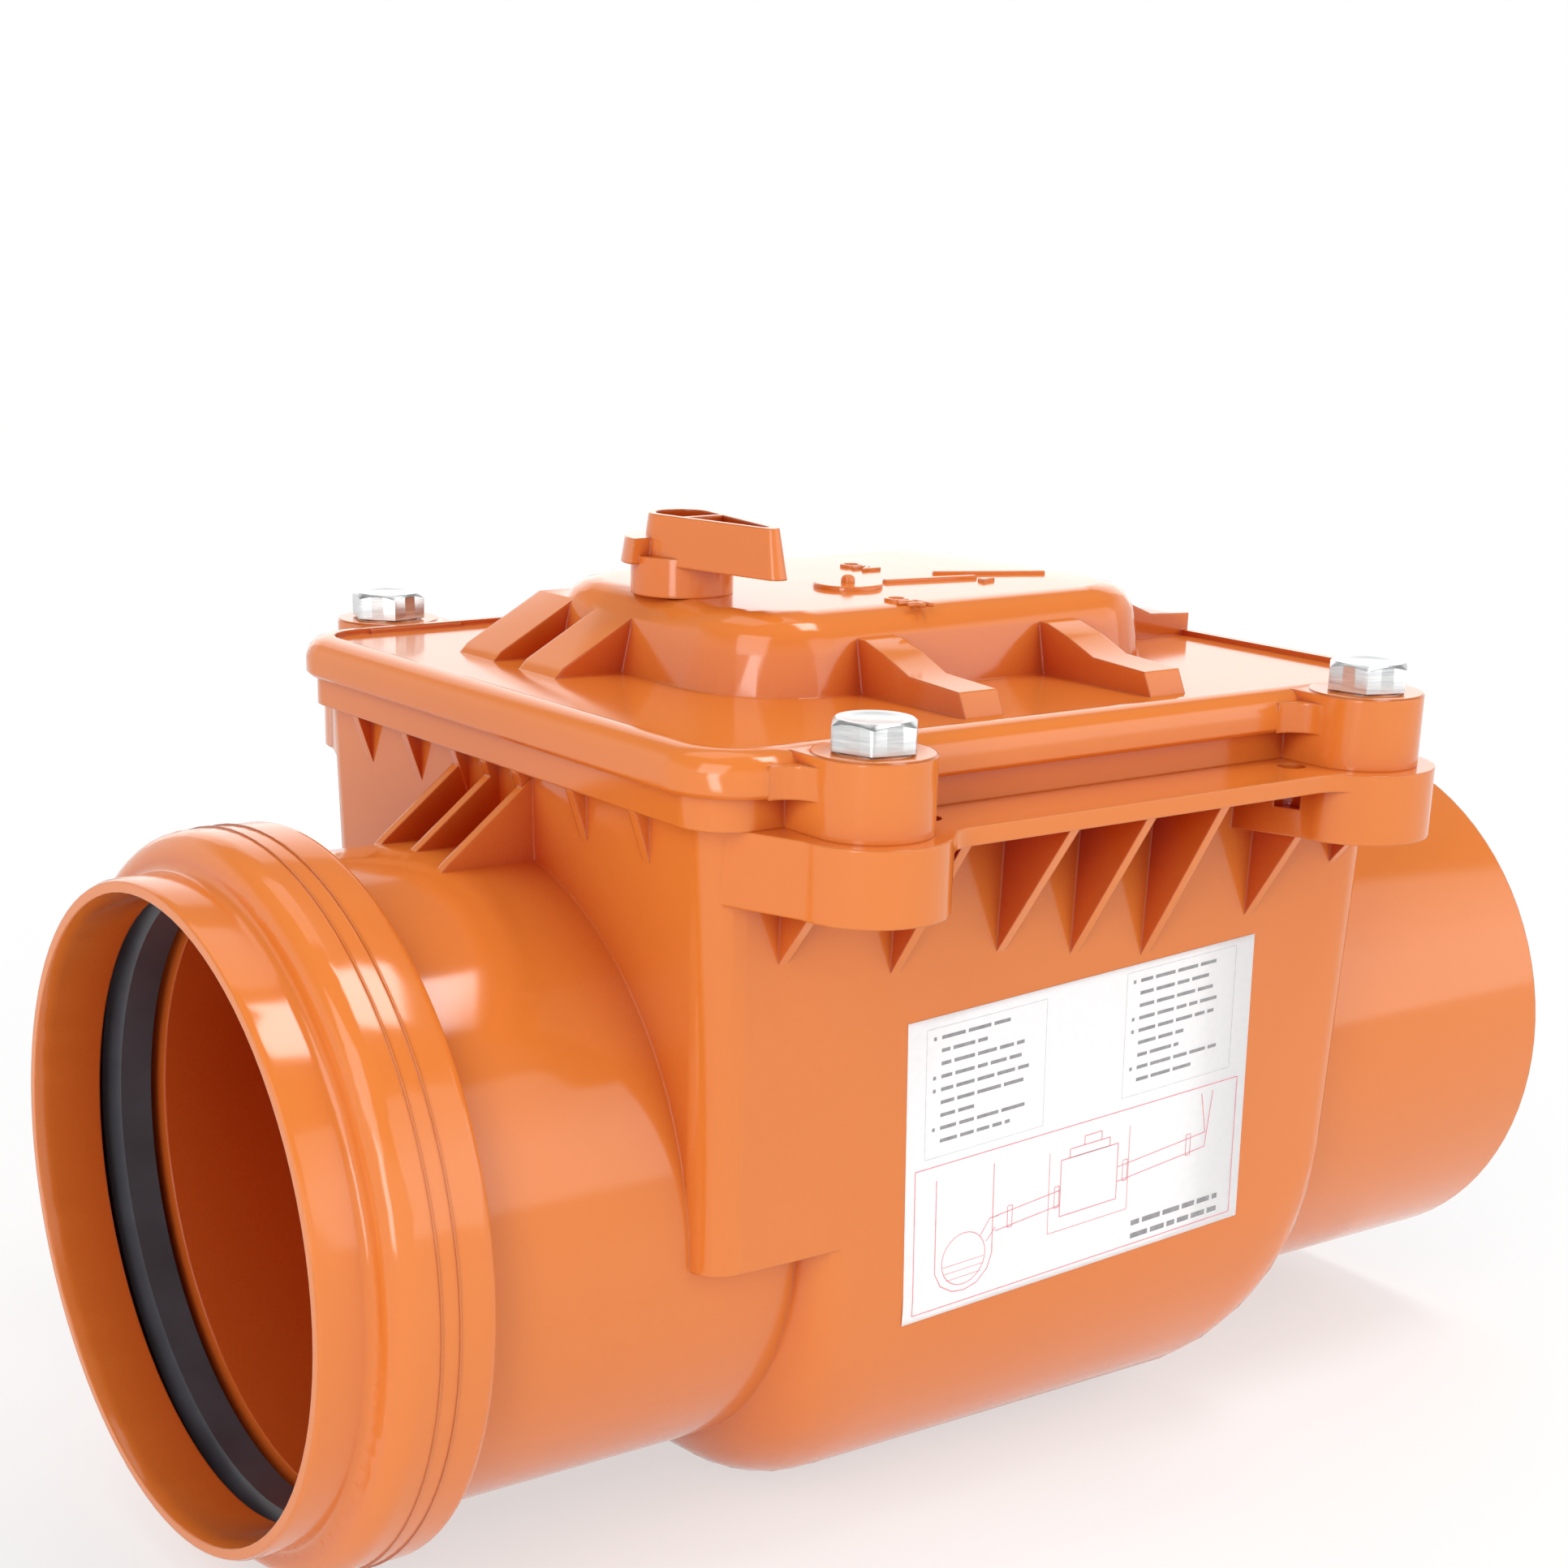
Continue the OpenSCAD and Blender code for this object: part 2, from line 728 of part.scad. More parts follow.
// Block between the rails, with a round-ended bar along its top
module hinge_block() {
    foot_z = inlet_z + collar_flat + over;
    back_x = -wall_x(foot_z) + wall + face_gap;
    plate_x = back_x + block_t;
    top = rim_z - block_below_rim;
    color("#c9602a") difference() {
        union() {
            translate([back_x, -block_w / 2, foot_z])
                cube([block_t, block_w, top - foot_z - block_bar_h / 2]);
            across(back_x + (block_t + block_bar_t) / 2, block_t + block_bar_t)
                translate([0, top - block_bar_h / 2])
                    round_rect(block_w - block_lug_w, block_bar_h, block_bar_h * 0.4);
            hinge_lugs(plate_x, foot_z);
        }
        cross_pin(pin_r + press_fit, 2 * block_w);
    }
}

module hinge_pin() {
    color("#d4d6d8") cross_pin(pin_r, block_w - 2 * over);
}

// Side view of the arm: a level part over the collar, a stepped elbow and a leg down to the flap's middle
module arm_outline() {
    top = hinge_z + arm_t / 2;
    low = hinge_z - arm_t / 2;
    cut = arm_t * 1.3;
    heel = arm_t * 0.6;
    polygon([
        [hinge_x, top],
        [leg_x1 - cut, top],
        [leg_x1 - cut + heel / 2, top - cut * 0.6],
        [leg_x1, top - cut * 0.75],
        [leg_x1, inlet_z],
        [leg_x0, inlet_z],
        [leg_x0, low - heel],
        [leg_x0 - heel, low],
        [hinge_x, low]
    ]);
}

// Front view of the arm, which narrows down its leg
module arm_taper() {
    leg_w = arm_w * 0.62;
    shoulder_z = hinge_z - arm_t * 2;
    polygon([
        [-leg_w / 2, inlet_z - over],
        [leg_w / 2, inlet_z - over],
        [arm_w / 2, shoulder_z],
        [arm_w / 2, rim_z],
        [-arm_w / 2, rim_z],
        [-arm_w / 2, shoulder_z]
    ]);
}

module flap_arm() {
    rib_w = arm_w * 0.4;
    color("#b5521f") difference() {
        union() {
            intersection() {
                upright(0, arm_w) arm_outline();
                across((hinge_x + leg_x1) / 2, 2 * end_x) arm_taper();
            }
            translate([leg_x1 - eps, -rib_w / 2, inlet_z])
                cube([arm_rib_h, rib_w, hinge_z - arm_t * 2 - inlet_z]);
            cross_pin(knuckle_r, arm_w);
            turned() polygon([
                [0, leg_x0 - arm_boss_back],
                [arm_boss_r, leg_x0 - arm_boss_back],
                [arm_boss_r, leg_x1],
                [arm_boss_r * 0.85, leg_x1 + arm_crown * 0.6],
                [arm_boss_r * 0.6, leg_x1 + arm_crown],
                [0, leg_x1 + arm_crown]
            ]);
        }
        cross_pin(pin_r + run_fit, 2 * arm_w);
        turned() translate([0, carrier_x]) square([stud_r + press_fit, leg_x1 + 2 * arm_crown - carrier_x]);
    }
}

// Stud through the flap's middle, with its head on the port's side
module flap_stud() {
    head_x = carrier_x - steel_t - face_gap - stud_head_t;
    end = leg_x1 + arm_crown + stud_proud;
    color("#d4d6d8") turned() polygon([
        [0, head_x],
        [stud_head_r - stud_edge, head_x],
        [stud_head_r, head_x + stud_edge],
        [stud_head_r, head_x + stud_head_t],
        [stud_r, head_x + stud_head_t],
        [stud_r, end - stud_edge / 2],
        [stud_r - stud_edge, end],
        [0, end]
    ]);
}

// Flap

// One rib of the carrier, full at the hub and thin at its outer end
module carrier_rib() {
    root_r = arm_boss_r + over;
    end_r = carrier_r - carrier_rim;
    translate([0, carrier_rib_t / 2, 0]) rotate([90, 0, 0]) linear_extrude(carrier_rib_t) polygon([
        [carrier_x, root_r],
        [carrier_x + carrier_t + carrier_rib_h, root_r],
        [carrier_x + carrier_t + carrier_rib_h, hub_ring_r],
        [carrier_x + carrier_t + over / 2, end_r],
        [carrier_x, end_r]
    ]);
}

// One window between two ribs
module carrier_window() {
    rib_room = asin((carrier_rib_t / 2 + side_gap) / window_in);
    translate([carrier_x - over, 0, 0]) rotate([rib_room, 0, 0]) rotate([0, 90, 0]) rotate([0, 0, 90])
        rotate_extrude(angle = 360 / carrier_ribs - 2 * rib_room, $fn = fine)
            translate([window_in, 0]) square([window_out - window_in, carrier_t + 2 * over]);
}

// Three small holes outside one window
module carrier_vents() {
    for (k = [-1, 0, 1]) rotate([(k * vent_spread + 0.5) * 360 / carrier_ribs, 0, 0])
        translate([carrier_x - over, vent_pcd_r, 0])
            rotate([0, 90, 0]) cylinder(r = vent_r, h = carrier_t + 2 * over, $fn = soft);
}

module flap_carrier() {
    hub_h = carrier_t + carrier_rib_h;
    color("#c8141c") difference() {
        union() {
            turned() translate([0, carrier_x]) square([carrier_r, carrier_t]);
            turned() translate([hub_ring_r - hub_ring_t, carrier_x]) square([hub_ring_t, hub_h]);
            for (i = [0 : carrier_ribs - 1])
                translate([0, 0, inlet_z]) rotate([i * 360 / carrier_ribs - 90, 0, 0]) carrier_rib();
        }
        for (i = [0 : carrier_ribs - 1]) translate([0, 0, inlet_z]) rotate([i * 360 / carrier_ribs, 0, 0]) {
            carrier_window();
            carrier_vents();
        }
        turned() translate([0, carrier_x - over]) square([stud_r + run_fit, carrier_t + 2 * over]);
    }
}

module flap_plate() {
    bore_r = stud_r + over;
    color("#b9bcbf") turned() translate([bore_r, carrier_x - steel_t]) square([steel_r - bore_r, steel_t]);
}

// Rubber ring with rounded edges and a dip in its face, which takes the carrier's rim in a groove
module flap_seal() {
    r0 = seal_r - seal_w;
    color("#1d1f22") turned() difference() {
        translate([seal_r - seal_w / 2, seal_x + seal_t / 2]) round_rect(seal_w, seal_t, seal_t * 0.3);
        translate([r0 - over, carrier_x - groove_play])
            square([carrier_r + groove_play - r0 + over, carrier_t + 2 * groove_play]);
        translate([seal_r - seal_w * 0.55, seal_x + seal_t + seal_dip_r / 2]) circle(seal_dip_r, $fn = soft);
    }
}

// Cover

// The lip with its round edge, as levels of height and of how far the edge has drawn in
lip_levels = [[0, 0.2], [0.1, 0], [0.5, 0], [0.75, 0.18], [0.92, 0.5], [1, 1]];

module lip_loft() {
    low = seat_z + lip_z;
    loft([
        for (s = lip_levels)
            let (
                back = s[1] * lip_edge_r,
                z = low + s[0] * (lip_top - low)
            )
            rect_ring(2 * (lip_half_x - back), 2 * (lip_half_y - back), lip_corner_r - back, z)
    ]);
}

// The dome with leaning sides and a round top edge, set in from its outside
module dome_loft(inset, base_z) {
    r = dome_edge_r - inset * 0.6;
    lean_in = dome_h * 0.12;
    levels = concat(
        [[inset, base_z]],
        [for (a = [0 : 22.5 : 90]) [inset + lean_in + r * (1 - cos(a)), dome_top - inset - r + r * sin(a)]]
    );
    translate([dome_x, dome_y, 0]) loft([
        for (s = levels) rect_ring(dome_l - 2 * s[0], dome_w - 2 * s[0], dome_corner_r - s[0], s[1])
    ]);
}

// Long sloping ribs from the dome towards the inlet end
ramp_y = [17, 48];
ramp_w = 18;
ramp_foot_in = 30;
ramp_below_top = 5;
ramp_toe = 2.5;

module ramps() {
    foot_x = -lip_half_x + ramp_foot_in;
    dome_end = dome_x - dome_l / 2;
    ramp_top = dome_top - ramp_below_top;
    for (y = ramp_y) upright(y, ramp_w) polygon([
        [dome_end + dome_corner_r, plate_z + over],
        [foot_x, plate_z + over],
        [foot_x, plate_top],
        [foot_x + ramp_toe, plate_top + ramp_toe],
        [dome_end + ramp_below_top, ramp_top],
        [dome_end + dome_corner_r, ramp_top]
    ]);
}

// Short stepped ribs round the other sides of the dome
step_rib_w = 12;
step_rib_l = 40;
step_rib_x = [-26, 35];
step_rib_y = [-17, 21];
step_rib_toe = 3;

module step_rib_outline(from) {
    root = from - dome_corner_r / 2;
    end = from + step_rib_l;
    rib_top = dome_h * 0.67;
    polygon([
        [root, plate_z + over],
        [end, plate_z + over],
        [end, plate_top],
        [end - step_rib_toe, plate_top + dome_h * 0.3],
        [from + step_rib_l * 0.45, plate_top + dome_h * 0.35],
        [from + step_rib_l * 0.2, plate_top + dome_h * 0.55],
        [from, plate_top + rib_top],
        [root, plate_top + rib_top]
    ]);
}

module step_ribs() {
    for (x = step_rib_x) {
        across(x, step_rib_w) translate([dome_y, 0]) step_rib_outline(dome_w / 2);
        mirror([0, 1, 0]) across(x, step_rib_w) translate([-dome_y, 0]) step_rib_outline(dome_w / 2);
    }
    for (y = step_rib_y) upright(dome_y + y, step_rib_w) intersection() {
        translate([dome_x, 0]) step_rib_outline(dome_l / 2);
        square([lip_half_x - lip_edge_r, dome_top]);
    }
}

module boss_outline() {
    circle(boss_r, $fn = fine);
    translate([-boss_r, side_y - bolt_y]) square([2 * boss_r, bolt_y - side_y]);
}

// Bosses for the bolts, which run into the lip in hollow corners
boss_blend_r = 8;
boss_step = 0.4;

module bosses() {
    lip_low = seat_z + lip_z;
    blend_h = lip_top - lip_low - lip_edge_r / 2;
    for (sx = [-1, 1], sy = [0, 1]) mirror([0, sy, 0]) translate([sx * bolt_x, bolt_y, 0]) {
        translate([0, 0, seat_z]) linear_extrude(lip_top - seat_z - boss_step) boss_outline();
        translate([0, 0, lip_low]) linear_extrude(lip_top - lip_low) circle(boss_r - boss_step, $fn = fine);
        for (side = [0, 1]) mirror([side, 0, 0]) translate([boss_r, lip_half_y - bolt_y, lip_low])
            linear_extrude(blend_h) hollow_corner(boss_blend_r);
    }
}

// The cover before it is hollowed: lip, skirt, bosses, dome and ribs
module cover_outside() {
    difference() {
        union() {
            lip_loft();
            translate([0, 0, seat_z])
                linear_extrude(lip_z + over) round_rect(2 * skirt_x, 2 * skirt_y, skirt_corner_r);
        }
        translate([0, 0, plate_top]) linear_extrude(lip_rise + over)
            round_rect(2 * (lip_half_x - lip_w), 2 * (lip_half_y - lip_w), lip_corner_r - lip_w);
    }
    bosses();
    dome_loft(0, plate_top - over);
    ramps();
    step_ribs();
}

module cover() {
    color("#d9702e") difference() {
        cover_outside();
        translate([0, 0, seat_z - over]) linear_extrude(plate_z - seat_z + over)
            round_rect(2 * (end_x + skirt_play), 2 * (side_y + skirt_play), corner_r + skirt_play);
        difference() {
            dome_loft(plate_t, plate_z - over);
            at_spindle() translate([0, 0, guide_z]) cylinder(r = guide_r, h = dome_h, $fn = fine);
        }
        at_spindle() translate([0, 0, plate_z]) cylinder(r = spindle_r + run_fit, h = 2 * dome_h, $fn = fine);
        at_bolts() translate([0, 0, seat_z - over]) cylinder(r = bolt_r + bolt_play, h = rim_z, $fn = fine);
    }
}

module cover_gasket() {
    color("#22252a") translate([0, 0, rim_z]) linear_extrude(gasket_t) difference() {
        round_rect(2 * end_x, 2 * side_y, corner_r);
        round_rect(2 * (end_x - wall), 2 * (side_y - wall), corner_r - wall);
    }
}

// Hexagon bolt, with the head's corners turned down
module cover_bolt(sx, sy) {
    corner = bolt_af / sqrt(3);
    flat_r = bolt_af * 0.46;
    color("#c9cccf") translate([sx * bolt_x, sy * bolt_y, lip_top]) {
        intersection() {
            cylinder(r = corner, h = bolt_head_h, $fn = 6);
            rotate_extrude($fn = fine) polygon([
                [0, 0],
                [corner + over, 0],
                [corner + over, bolt_head_h * 0.8],
                [flat_r, bolt_head_h],
                [0, bolt_head_h]
            ]);
        }
        translate([0, 0, bolt_tip_z - lip_top]) cylinder(r = bolt_r, h = lip_top - bolt_tip_z, $fn = fine);
    }
}

module cover_bolt_1() { cover_bolt(-1, -1); }
module cover_bolt_2() { cover_bolt(1, -1); }
module cover_bolt_3() { cover_bolt(1, 1); }
module cover_bolt_4() { cover_bolt(-1, 1); }

// Handle and lock, drawn about the spindle's own axis with the lever towards -Y

module at_spindle() {
    translate([-spindle_x, dome_y, 0]) children();
}

// Points round a pointer at one height: a round back of radius r about the spindle and a narrow round tip
function pointer_ring(r, tip, reach, z) =
    let (lean_a = asin((r - tip) / (reach - tip)))
    concat(
        [for (i = [0 : soft]) let (a = -lean_a + (180 + 2 * lean_a) * i / soft) [r * cos(a), r * sin(a), z]],
        [
            for (i = [0 : soft / 2])
                let (a = 180 + lean_a + (180 - 2 * lean_a) * i / (soft / 2))
                [tip * cos(a), tip * sin(a) - reach + tip, z]
        ]
    );

// The pointer between two heights, set in from its outside, with drafted sides and a slanted tip
module pointer(z0, z1, inset) {
    loft([
        for (z = [z0, z1])
            let (back = inset + lever_draft * (z - lever_z) / lever_h)
            pointer_ring(lever_back_r - back, max(tip_r - back * 0.6, tip_r / 8), lever_l - back * 2, z)
    ]);
}

// The pointer with two pockets in its top, and a half collar round its back
module lever() {
    pocket_z = lever_z + lever_floor;
    divider_y = -lever_w * 0.42;
    difference() {
        pointer(lever_z, lever_z + lever_h, 0);
        difference() {
            pointer(pocket_z, lever_z + lever_h + over, lever_wall);
            translate([-lever_w, divider_y - lever_wall, 0]) cube([2 * lever_w, lever_wall, 2 * lever_z]);
        }
    }
    difference() {
        translate([0, 0, lever_z])
            cylinder(r1 = half_collar_r, r2 = half_collar_r - over, h = lever_h * 0.52, $fn = fine);
        translate([0, 0, pocket_z]) cylinder(r = lever_w / 2 - lever_wall, h = lever_h, $fn = fine);
        translate([-2 * neck_r, -4 * neck_r, lever_z - over]) cube([4 * neck_r, 4 * neck_r, 2 * lever_h]);
    }
}

// A groove cut round the spindle down to radius r
module groove(r, h) {
    difference() {
        cylinder(r = spindle_r + over, h = h, $fn = fine);
        translate([0, 0, -over]) cylinder(r = r, h = h + 2 * over, $fn = fine);
    }
}

// The spindle with its square lower end, and grooves for its ring and its clip
module spindle() {
    square_z = hub_z + drive_step;
    round_z = hub_top + drive_step;
    difference() {
        union() {
            translate([0, 0, round_z]) cylinder(r = spindle_r, h = dome_top - round_z + eps, $fn = fine);
            translate([-drive_w / 2, -drive_w / 2, square_z])
                cube([drive_w, drive_w, round_z - square_z + eps]);
        }
        translate([0, 0, ring_z - ring_wire_r]) groove(spindle_r - 2 * ring_wire_r, 2 * ring_wire_r);
        translate([0, 0, clip_z]) groove(clip_in_r, clip_t + 2 * press_fit);
        translate([0, 0, hub_z]) cylinder(r = screw_r, h = hub_top - hub_z, $fn = fine);
    }
}

module handle() {
    color("#d9702e") at_spindle() {
        lever();
        translate([0, 0, dome_top]) cylinder(r = neck_r, h = neck_h + lever_floor / 2, $fn = fine);
        spindle();
    }
}

module spindle_o_ring() {
    color("#22252a") at_spindle() translate([0, 0, ring_z]) rotate_extrude($fn = fine)
        translate([spindle_r - ring_wire_r, 0]) circle(ring_wire_r - press_fit, $fn = soft);
}

// Open ring that holds the spindle under its guide
module spindle_clip() {
    color("#b9bcbf") at_spindle() translate([0, 0, clip_z + press_fit]) difference() {
        cylinder(r = clip_out_r, h = clip_t, $fn = fine);
        translate([0, 0, -over]) cylinder(r = clip_in_r + press_fit, h = clip_t + 2 * over, $fn = fine);
        translate([0, -clip_mouth / 2, -over]) cube([2 * spindle_r, clip_mouth, clip_t + 2 * over]);
    }
}

// Crank on the spindle's square, with a finger that comes over the arm
module lock_finger() {
    socket_w = drive_w + 2 * press_fit;
    color("#c9602a") at_spindle() difference() {
        union() {
            translate([0, 0, hub_z]) cylinder(r = spindle_r, h = finger_bar_t, $fn = fine);
            translate([-finger_w / 2, 0, hub_z]) cube([finger_w, finger_x + finger_l / 2, finger_bar_t]);
            translate([-finger_w / 2, finger_x - finger_l / 2, finger_tip_z])
                cube([finger_w, finger_l, hub_top - finger_tip_z]);
        }
        translate([-socket_w / 2, -socket_w / 2, hub_z + drive_step])
            cube([socket_w, socket_w, finger_bar_t]);
        translate([0, 0, hub_z - over]) cylinder(r = screw_r, h = finger_bar_t, $fn = fine);
    }
}

module lock_screw() {
    color("#d4d6d8") at_spindle() translate([0, 0, hub_z])
        cylinder(r = screw_r - press_fit, h = finger_bar_t - eps, $fn = fine);
}

valve_body();
threaded_inserts();
socket_seal();
hinge_block();
hinge_pin();
flap_arm();
flap_stud();
flap_carrier();
flap_plate();
flap_seal();
cover();
cover_gasket();
cover_bolt_1();
cover_bolt_2();
cover_bolt_3();
cover_bolt_4();
handle();
spindle_o_ring();
spindle_clip();
lock_finger();
lock_screw();
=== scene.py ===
"""Looks of the backwater valve: finishes, label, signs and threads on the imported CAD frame."""

import math

import bmesh
import bpy
from mathutils import Matrix, Vector


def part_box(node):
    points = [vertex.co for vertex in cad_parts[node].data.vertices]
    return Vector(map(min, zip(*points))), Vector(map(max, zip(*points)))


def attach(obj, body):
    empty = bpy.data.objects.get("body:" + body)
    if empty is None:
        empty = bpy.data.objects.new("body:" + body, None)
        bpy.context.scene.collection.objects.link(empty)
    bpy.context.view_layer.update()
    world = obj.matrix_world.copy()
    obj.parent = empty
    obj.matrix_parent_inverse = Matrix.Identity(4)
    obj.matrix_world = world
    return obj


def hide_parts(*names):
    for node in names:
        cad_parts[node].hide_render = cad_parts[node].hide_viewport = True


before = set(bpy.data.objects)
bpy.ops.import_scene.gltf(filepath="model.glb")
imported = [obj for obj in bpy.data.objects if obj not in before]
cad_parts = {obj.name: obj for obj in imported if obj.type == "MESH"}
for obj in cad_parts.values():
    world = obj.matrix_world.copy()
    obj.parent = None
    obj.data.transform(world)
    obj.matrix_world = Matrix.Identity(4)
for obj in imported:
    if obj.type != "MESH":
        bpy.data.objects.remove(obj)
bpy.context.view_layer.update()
MM = 0.001
WELD = 0.004 * MM

# Materials

PLASTIC_IOR, RUBBER_IOR = 1.55, 1.7
# Painted shade: the colour is darkened towards a deeper tone where much lies within this reach, as in hollows
# and creases
SHADE_REACH, SHADE_LOW, SHADE_HIGH = 0.3, -0.9, 2.2


def tree_of(name):
    """A new material, its node tree and its shader."""
    m = bpy.data.materials.new(name)
    m.use_nodes = True
    t = m.node_tree
    return m, t, t.nodes["Principled BSDF"]


def add(t, kind, **values):
    """A new node with its properties set."""
    n = t.nodes.new(kind)
    for k, v in values.items():
        setattr(n, k, v)
    return n


def noise(t, scale, detail=3.0, rough=0.5, stretch=None):
    """A noise texture in object space, with its scale per metre."""
    at = add(t, "ShaderNodeTexCoord")
    tex = add(t, "ShaderNodeTexNoise")
    tex.inputs["Scale"].default_value = scale
    tex.inputs["Detail"].default_value = detail
    tex.inputs["Roughness"].default_value = rough
    source = at.outputs["Object"]
    if stretch:
        mapping = add(t, "ShaderNodeMapping")
        mapping.inputs["Scale"].default_value = stretch
        t.links.new(source, mapping.inputs["Vector"])
        source = mapping.outputs["Vector"]
    t.links.new(source, tex.inputs["Vector"])
    return tex.outputs["Fac"]


def ramp(t, fac, stops):
    """A colour ramp over the factor, with stops of position and colour."""
    r = add(t, "ShaderNodeValToRGB")
    e = r.color_ramp.elements
    while len(e) < len(stops):
        e.new(0.5)
    for i, (pos, col) in enumerate(stops):
        e[i].position = pos
        e[i].color = (*col, 1)
    t.links.new(fac, r.inputs["Fac"])
    return r.outputs["Color"]


def ranged(t, fac, low, high):
    """The factor's 0 to 1 stretched to another range."""
    r = add(t, "ShaderNodeMapRange")
    r.inputs["To Min"].default_value = low
    r.inputs["To Max"].default_value = high
    t.links.new(fac, r.inputs["Value"])
    return r.outputs["Result"]


def bumped(t, height, strength, distance, after=None):
    """A normal bumped by the height, on top of another normal if there is one."""
    b = add(t, "ShaderNodeBump")
    b.inputs["Strength"].default_value = strength
    b.inputs["Distance"].default_value = distance
    t.links.new(height, b.inputs["Height"])
    if after:
        t.links.new(after, b.inputs["Normal"])
    return b.outputs["Normal"]


def plastic(name, painted_shade, dark, light, rough, edge):
    """Moulded plastic: flow marks in its colour, painted shade in a deeper tone in hollows, fine grain and
    softened edges.
    """
    m, t, s = tree_of(name)
    flow = ramp(t, noise(t, 9, 4, 0.55), [(0.25, dark), (0.75, light)])
    # Painted shade: ambient occlusion mixes the colour towards a darker, deeper tone in hollows and creases
    occlusion = add(t, "ShaderNodeAmbientOcclusion", samples=6, only_local=True)
    occlusion.inputs["Distance"].default_value = SHADE_REACH
    shaded_tone = add(t, "ShaderNodeMix", data_type="RGBA")
    shaded_tone.inputs["A"].default_value = (*painted_shade, 1)
    t.links.new(ranged(t, occlusion.outputs["AO"], SHADE_LOW, SHADE_HIGH), shaded_tone.inputs["Factor"])
    t.links.new(flow, shaded_tone.inputs["B"])
    t.links.new(shaded_tone.outputs["Result"], s.inputs["Base Color"])
    t.links.new(ranged(t, noise(t, 60, 3), rough[0], rough[1]), s.inputs["Roughness"])
    soft = add(t, "ShaderNodeBevel", samples=6)
    soft.inputs["Radius"].default_value = edge
    wave = bumped(t, noise(t, 45, 2), 0.05, 0.0006, soft.outputs["Normal"])
    t.links.new(bumped(t, noise(t, 1400, 2), 0.04, 0.0001, wave), s.inputs["Normal"])
    s.inputs["IOR"].default_value = PLASTIC_IOR
    return m


def rubber(name, dark, light, rough):
    """Rubber with a faint bloom in its colour and gloss."""
    m, t, s = tree_of(name)
    t.links.new(ramp(t, noise(t, 30, 4), [(0.3, dark), (0.7, light)]), s.inputs["Base Color"])
    t.links.new(ranged(t, noise(t, 160, 3), rough[0], rough[1]), s.inputs["Roughness"])
    t.links.new(bumped(t, noise(t, 900, 3), 0.08, 0.0002), s.inputs["Normal"])
    s.inputs["IOR"].default_value = RUBBER_IOR
    return m


def metal(name, dark, light, rough, stretch, grain=600):
    """Metal with fine drawn lines in its colour, gloss and surface."""
    m, t, s = tree_of(name)
    lines = noise(t, grain, 4, 0.6, stretch)
    t.links.new(ramp(t, lines, [(0.3, dark), (0.7, light)]), s.inputs["Base Color"])
    t.links.new(ranged(t, lines, rough[0], rough[1]), s.inputs["Roughness"])
    t.links.new(bumped(t, lines, 0.12, 0.0001), s.inputs["Normal"])
    s.inputs["Metallic"].default_value = 1.0
    return m


def printed(name, dark, light, rough):
    """Paper or ink with the fibres' faint unevenness."""
    m, t, s = tree_of(name)
    t.links.new(ramp(t, noise(t, 500, 4), [(0.35, dark), (0.65, light)]), s.inputs["Base Color"])
    t.links.new(ranged(t, noise(t, 220, 3), rough[0], rough[1]), s.inputs["Roughness"])
    t.links.new(bumped(t, noise(t, 900, 3), 0.05, 0.0001), s.inputs["Normal"])
    return m


FINISH = {
    # The deepest colour of each plastic is painted shade for its hollows
    "orange_plastic": plastic(
        "orange_plastic",
        painted_shade=(0.43, 0.024, 0.001), dark=(0.715, 0.192, 0.030), light=(0.745, 0.206, 0.036),
        rough=(0.09, 0.15), edge=0.8 * MM,
    ),
    "inner_plastic": plastic(
        "inner_plastic",
        painted_shade=(0.38, 0.06, 0.006), dark=(0.50, 0.100, 0.012), light=(0.60, 0.130, 0.018),
        rough=(0.12, 0.22), edge=0.6 * MM,
    ),
    "red_plastic": plastic(
        "red_plastic",
        painted_shade=(0.45, 0.005, 0.007), dark=(0.60, 0.008, 0.010), light=(0.72, 0.014, 0.017),
        rough=(0.10, 0.18), edge=0.5 * MM,
    ),
    "black_rubber": rubber(
        "black_rubber", dark=(0.016, 0.017, 0.020), light=(0.026, 0.028, 0.032), rough=(0.18, 0.3),
    ),
    "brass": metal(
        "brass", dark=(0.62, 0.42, 0.14), light=(0.82, 0.60, 0.24), rough=(0.2, 0.38), stretch=(1, 1, 0.15),
    ),
    "zinc_steel": metal(
        "zinc_steel",
        dark=(0.56, 0.57, 0.58), light=(0.80, 0.80, 0.79), rough=(0.22, 0.42),
        stretch=(0.12, 0.12, 1.6), grain=900,
    ),
    "stainless_steel": metal(
        "stainless_steel",
        dark=(0.52, 0.52, 0.53), light=(0.72, 0.72, 0.73), rough=(0.16, 0.3), stretch=(1, 0.2, 1),
    ),
}
# Socket seal rubber: partly its own dark grey, partly a painted sheen that lightens the colour in place of
# its broad reflection
GREY_PAINTED_SHEEN_RUBBER = rubber("grey_and_painted_sheen_rubber", (0.034, 0.037, 0.044), (0.07, 0.076, 0.088), (0.26, 0.4))
PAPER = printed("label_paper", (0.92, 0.92, 0.93), (0.95, 0.95, 0.955), (0.3, 0.4))
INK_GREY = printed("label_grey", (0.26, 0.26, 0.27), (0.34, 0.34, 0.35), (0.4, 0.55))
INK_PALE = printed("label_pale", (0.60, 0.60, 0.61), (0.68, 0.68, 0.69), (0.4, 0.55))
INK_RED = printed("label_red", (0.78, 0.26, 0.29), (0.84, 0.34, 0.36), (0.4, 0.55))


# Carried-over nodes


